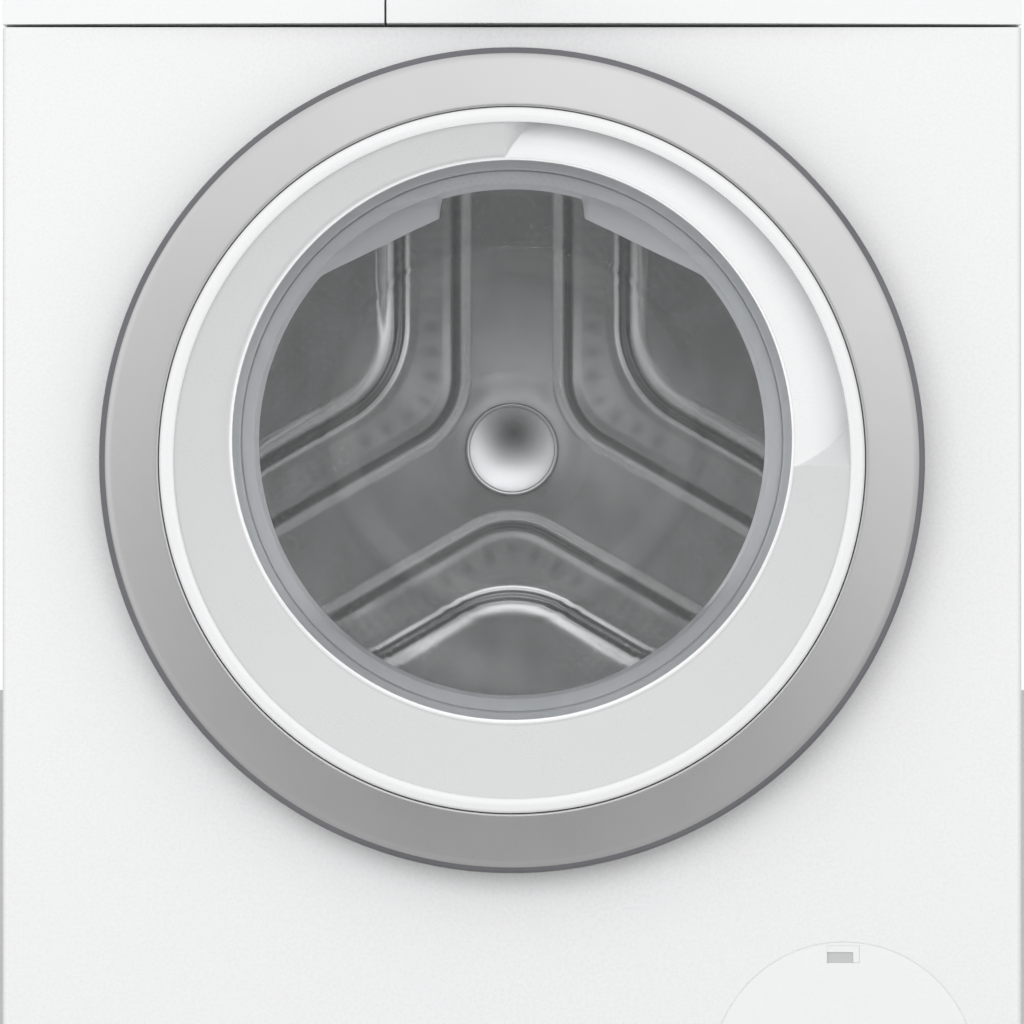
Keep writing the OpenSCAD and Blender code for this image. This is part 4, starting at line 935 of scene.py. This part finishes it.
def rear_fittings():
    """Drain spigot, cord gland, transit caps and screws, and the drain hose inside the cabinet."""
    back = span("rear_panel")[1][1]
    pieces = []
    for x, z in ((-235, 600), (235, 600), (-200, 330), (200, 330)):
        cap = [
            (0, back + 1.6), (9, back + 1.6), (10, back + 2.5), (15, back + 2.5), (17, back + 1.2),
            (17, back + 0.1), (12.8, back + 0.1), (12.6, back - 6), (0, back - 6),
        ]
        outline = rounded(cap, 0.6, closed=False)
        pieces.append(lathe(f"cap_{len(pieces)}", outline, z, x, segments=48, closed=False))
    gland = [
        (3.8, back - 6), (12, back - 6), (12, back - 1.2), (8.8, back - 1.2), (8.8, back + 0.1),
        (12, back + 0.1), (12, back + 2), (10.5, back + 3), (3.8, back + 3),
    ]
    pieces.append(lathe("gland", rounded(gland, 0.5), 780, 215, segments=48))
    spigot = [
        (7, back - 6), (10, back - 6), (10, back), (18, back + 0.1), (18, back + 1.8), (10, back + 2),
        (9.4, back + 5), (10.2, back + 6.5), (9.4, back + 9), (10.2, back + 10.5), (9.2, back + 13),
        (7, back + 13),
    ]
    pieces.append(lathe("spigot", rounded(spigot, 0.5), 72, 250, segments=48))
    for x in (-285, 285):
        for z in (60, 240, 440, 640, 810):
            head = [
                (0, back + 1.0), (1.4, back + 1.0), (1.6, back + 2.1), (3.2, back + 1.7), (4, back + 0.6),
                (4, back + 0.02), (0, back + 0.02),
            ]
            pieces.append(lathe(f"screw_{len(pieces)}", head, z, x, segments=24, closed=False))
    obj = join(pieces, "rear_caps_and_screws")
    finish_mesh(obj, "grey_plastic", "cabinet", ["rear_fittings"], sharp=40)
    pump = span("pump_housing")
    start = np.array([pump[1][0] + 0.6, -160.0, 91.3])
    turns = np.radians(np.arange(-90, 1, 15))
    bend = [start + (4 + 16 * math.cos(a), 16 * (1 + math.sin(a)), 0) for a in turns]
    way = [
        start, *bend, (272, -60, 86), (272, 60, 82), (271, 180, 78), (266, 230, 75), (257, 262, 73),
        (250, 280, 72), (250, back - 8, 72),
    ]
    way = np.array(way, float)
    length = np.concatenate([[0], np.cumsum(np.linalg.norm(np.diff(way, axis=0), axis=1))])
    steps = np.arange(0, length[-1], 0.8)
    path = np.stack([np.interp(steps, length, way[:, k]) for k in range(3)], -1)
    for _ in range(40):
        path[1:-1] = (path[:-2] + 2 * path[1:-1] + path[2:]) / 4
    radius = 9.2 + 0.8 * np.cos(steps * 2 * math.pi / 5.0)
    radius[:18] = 9.6
    hose = sweep("hose_drain", path, radius, sides=24)
    finish_mesh(hose, "grey_plastic", "cabinet", sharp=50)


# ---------------------------------------------------------------- light, floor and camera

WORLD_STRENGTH = 0.75
FRONT_POWER = 50
RING_POWER = 0.1
# where each soft light is on the camera's side, its size and how strong it is
GLOWS = [
    ((0.28, 0.42), (0.5, 0.3), 0.45),
    ((0.0, 0.3), (0.35, 0.12), 0.25),
    ((-0.9, 0.1), (0.35, 0.5), 0.3),
    ((0.42, 0.0), (0.2, 0.2), 0.35),
]


def area_light(name, place, target, width, height, power, tone=(1, 1, 1)):
    lamp = bpy.data.lights.new(name, "AREA")
    lamp.shape = "RECTANGLE"
    lamp.size, lamp.size_y = width, height
    lamp.energy = power
    lamp.color = tone
    obj = bpy.data.objects.new(name, lamp)
    bpy.context.scene.collection.objects.link(obj)
    obj.location = place
    obj.rotation_mode = "QUATERNION"
    obj.rotation_quaternion = (Vector(target) - Vector(place)).to_track_quat("-Z", "Y")
    return obj


def oval(nodes, links, axes, centre, size):
    """How far a direction is from an oval's middle: 0 there, 1 at its edge."""
    across = add_math(nodes, links, "DIVIDE", add_math(nodes, links, "SUBTRACT", axes[0], centre[0]), size[0])
    upward = add_math(nodes, links, "DIVIDE", add_math(nodes, links, "SUBTRACT", axes[2], centre[1]), size[1])
    across_square = add_math(nodes, links, "MULTIPLY", across, across)
    upward_square = add_math(nodes, links, "MULTIPLY", upward, upward)
    return add_math(nodes, links, "SQRT", add_math(nodes, links, "ADD", across_square, upward_square))


def glow(nodes, links, axes, centre, size, amount):
    """A soft oval of light on the camera's side of the studio."""
    near = add_range(nodes, links, oval(nodes, links, axes, centre, size), amount, 0.0, 0.4, 1.6)
    return add_math(nodes, links, "MULTIPLY", near, add_range(nodes, links, axes[1], 1.0, 0.0, -0.3, 0.0))


def studio():
    scene = bpy.context.scene
    world = bpy.data.worlds.new("studio")
    world.use_nodes = True
    scene.world = world
    nodes, links = world.node_tree.nodes, world.node_tree.links
    background = nodes["Background"]
    split = nodes.new("ShaderNodeSeparateXYZ")
    links.new(nodes.new("ShaderNodeTexCoord").outputs["Generated"], split.inputs["Vector"])
    axes = split.outputs
    light = add_range(nodes, links, axes["Z"], 0.45, 0.95, -0.5, 0.6)
    # soft lights on the camera's side, which the steel mirrors, and a dark patch in that side's middle
    for centre, size, amount in GLOWS:
        light = add_math(nodes, links, "ADD", light, glow(nodes, links, axes, centre, size, amount))
    depth = add_math(nodes, links, "MINIMUM", oval(nodes, links, axes, (-0.02, -0.14), (0.38, 0.38)), 1.0)
    dark = add_math(nodes, links, "MAXIMUM", add_math(nodes, links, "POWER", depth, 1.5), 0.02)
    behind = add_range(nodes, links, axes["Y"], 0.0, 1.0, -0.5, -0.1)
    light = add_math(nodes, links, "MULTIPLY", light, add_math(nodes, links, "MAXIMUM", dark, behind))
    light = add_math(nodes, links, "ADD", light, add_range(nodes, links, axes["Y"], 0.0, 0.72, 0.9, 0.98))
    links.new(light, background.inputs["Color"])
    background.inputs["Strength"].default_value = WORLD_STRENGTH

    front = area_light("front", (-0.3, -3.4, 1.0), (0, -0.3, 0.45), 3.2, 1.8, FRONT_POWER)
    front.visible_glossy = False
    front.visible_transmission = False
    for i in range(14):
        turn = 2 * math.pi * (i + 0.5) / 14
        place = Vector((0.172 * math.cos(turn), -0.158, AXIS_Z * MM + 0.172 * math.sin(turn)))
        lamp = area_light(f"mouth_{i}", place, place + Vector((0, 1, 0)), 0.05, 0.018, RING_POWER)
        lamp.rotation_mode = "QUATERNION"
        lamp.visible_glossy = False
        aim = Vector((0, 1, 0)).to_track_quat("-Z", "Y")
        lamp.rotation_quaternion = aim @ Quaternion((0, 0, 1), turn + math.pi / 2)

    place, target = (0.02, -0.235, AXIS_Z * MM - 0.1), (0.0, -0.185, AXIS_Z * MM + 0.2)
    up = area_light("bowl_up", place, target, 0.16, 0.05, 0.36)
    up.visible_camera = up.visible_glossy = up.visible_transmission = False

    corners = [(-6000, -2500, -0.6), (6000, -2500, -0.6), (6000, 9000, -0.6), (-6000, 9000, -0.6)]
    floor = mesh_object("floor_sheet", corners, [(0, 1, 2, 3)], outward=False)
    material, floor_nodes, floor_links = new_material("floor_paper")
    shader = floor_nodes["Principled BSDF"]
    place = floor_nodes.new("ShaderNodeTexCoord").outputs["Object"]
    mottle = add_range(floor_nodes, floor_links, add_noise(floor_nodes, floor_links, place, 3.0, 3.0), 0.0, 1.0)
    paper = add_mix(floor_nodes, floor_links, mottle, (0.62, 0.62, 0.62), (0.67, 0.67, 0.67))
    floor_links.new(paper, shader.inputs["Base Color"])
    shader.inputs["Roughness"].default_value = 0.7
    floor.data.materials.append(material)
    floor.visible_glossy = False
    floor.visible_transmission = False

    camera = bpy.data.cameras.new("camera")
    camera.lens = 170.9
    camera.sensor_width = 36.0
    camera.clip_start, camera.clip_end = 0.1, 30.0
    obj = bpy.data.objects.new("camera", camera)
    scene.collection.objects.link(obj)
    obj.location = (0.0, (FACE - 2850) * MM, 0.443)
    obj.rotation_euler = (math.radians(90), 0, 0)
    scene.camera = obj
    scene.view_settings.view_transform = "Standard"


# ---------------------------------------------------------------- build

make_materials()
door_ring()
door_white()
door_bowl()
gasket()
drum_back()
drum_shell()
hub_cap()
hoses()
springs()
belt()
rear_fittings()
flap_notch()
shaft_seal()

for node, obj in frame["nodes"].items():
    if not obj.hide_render:
        dress(node, obj)

studio()
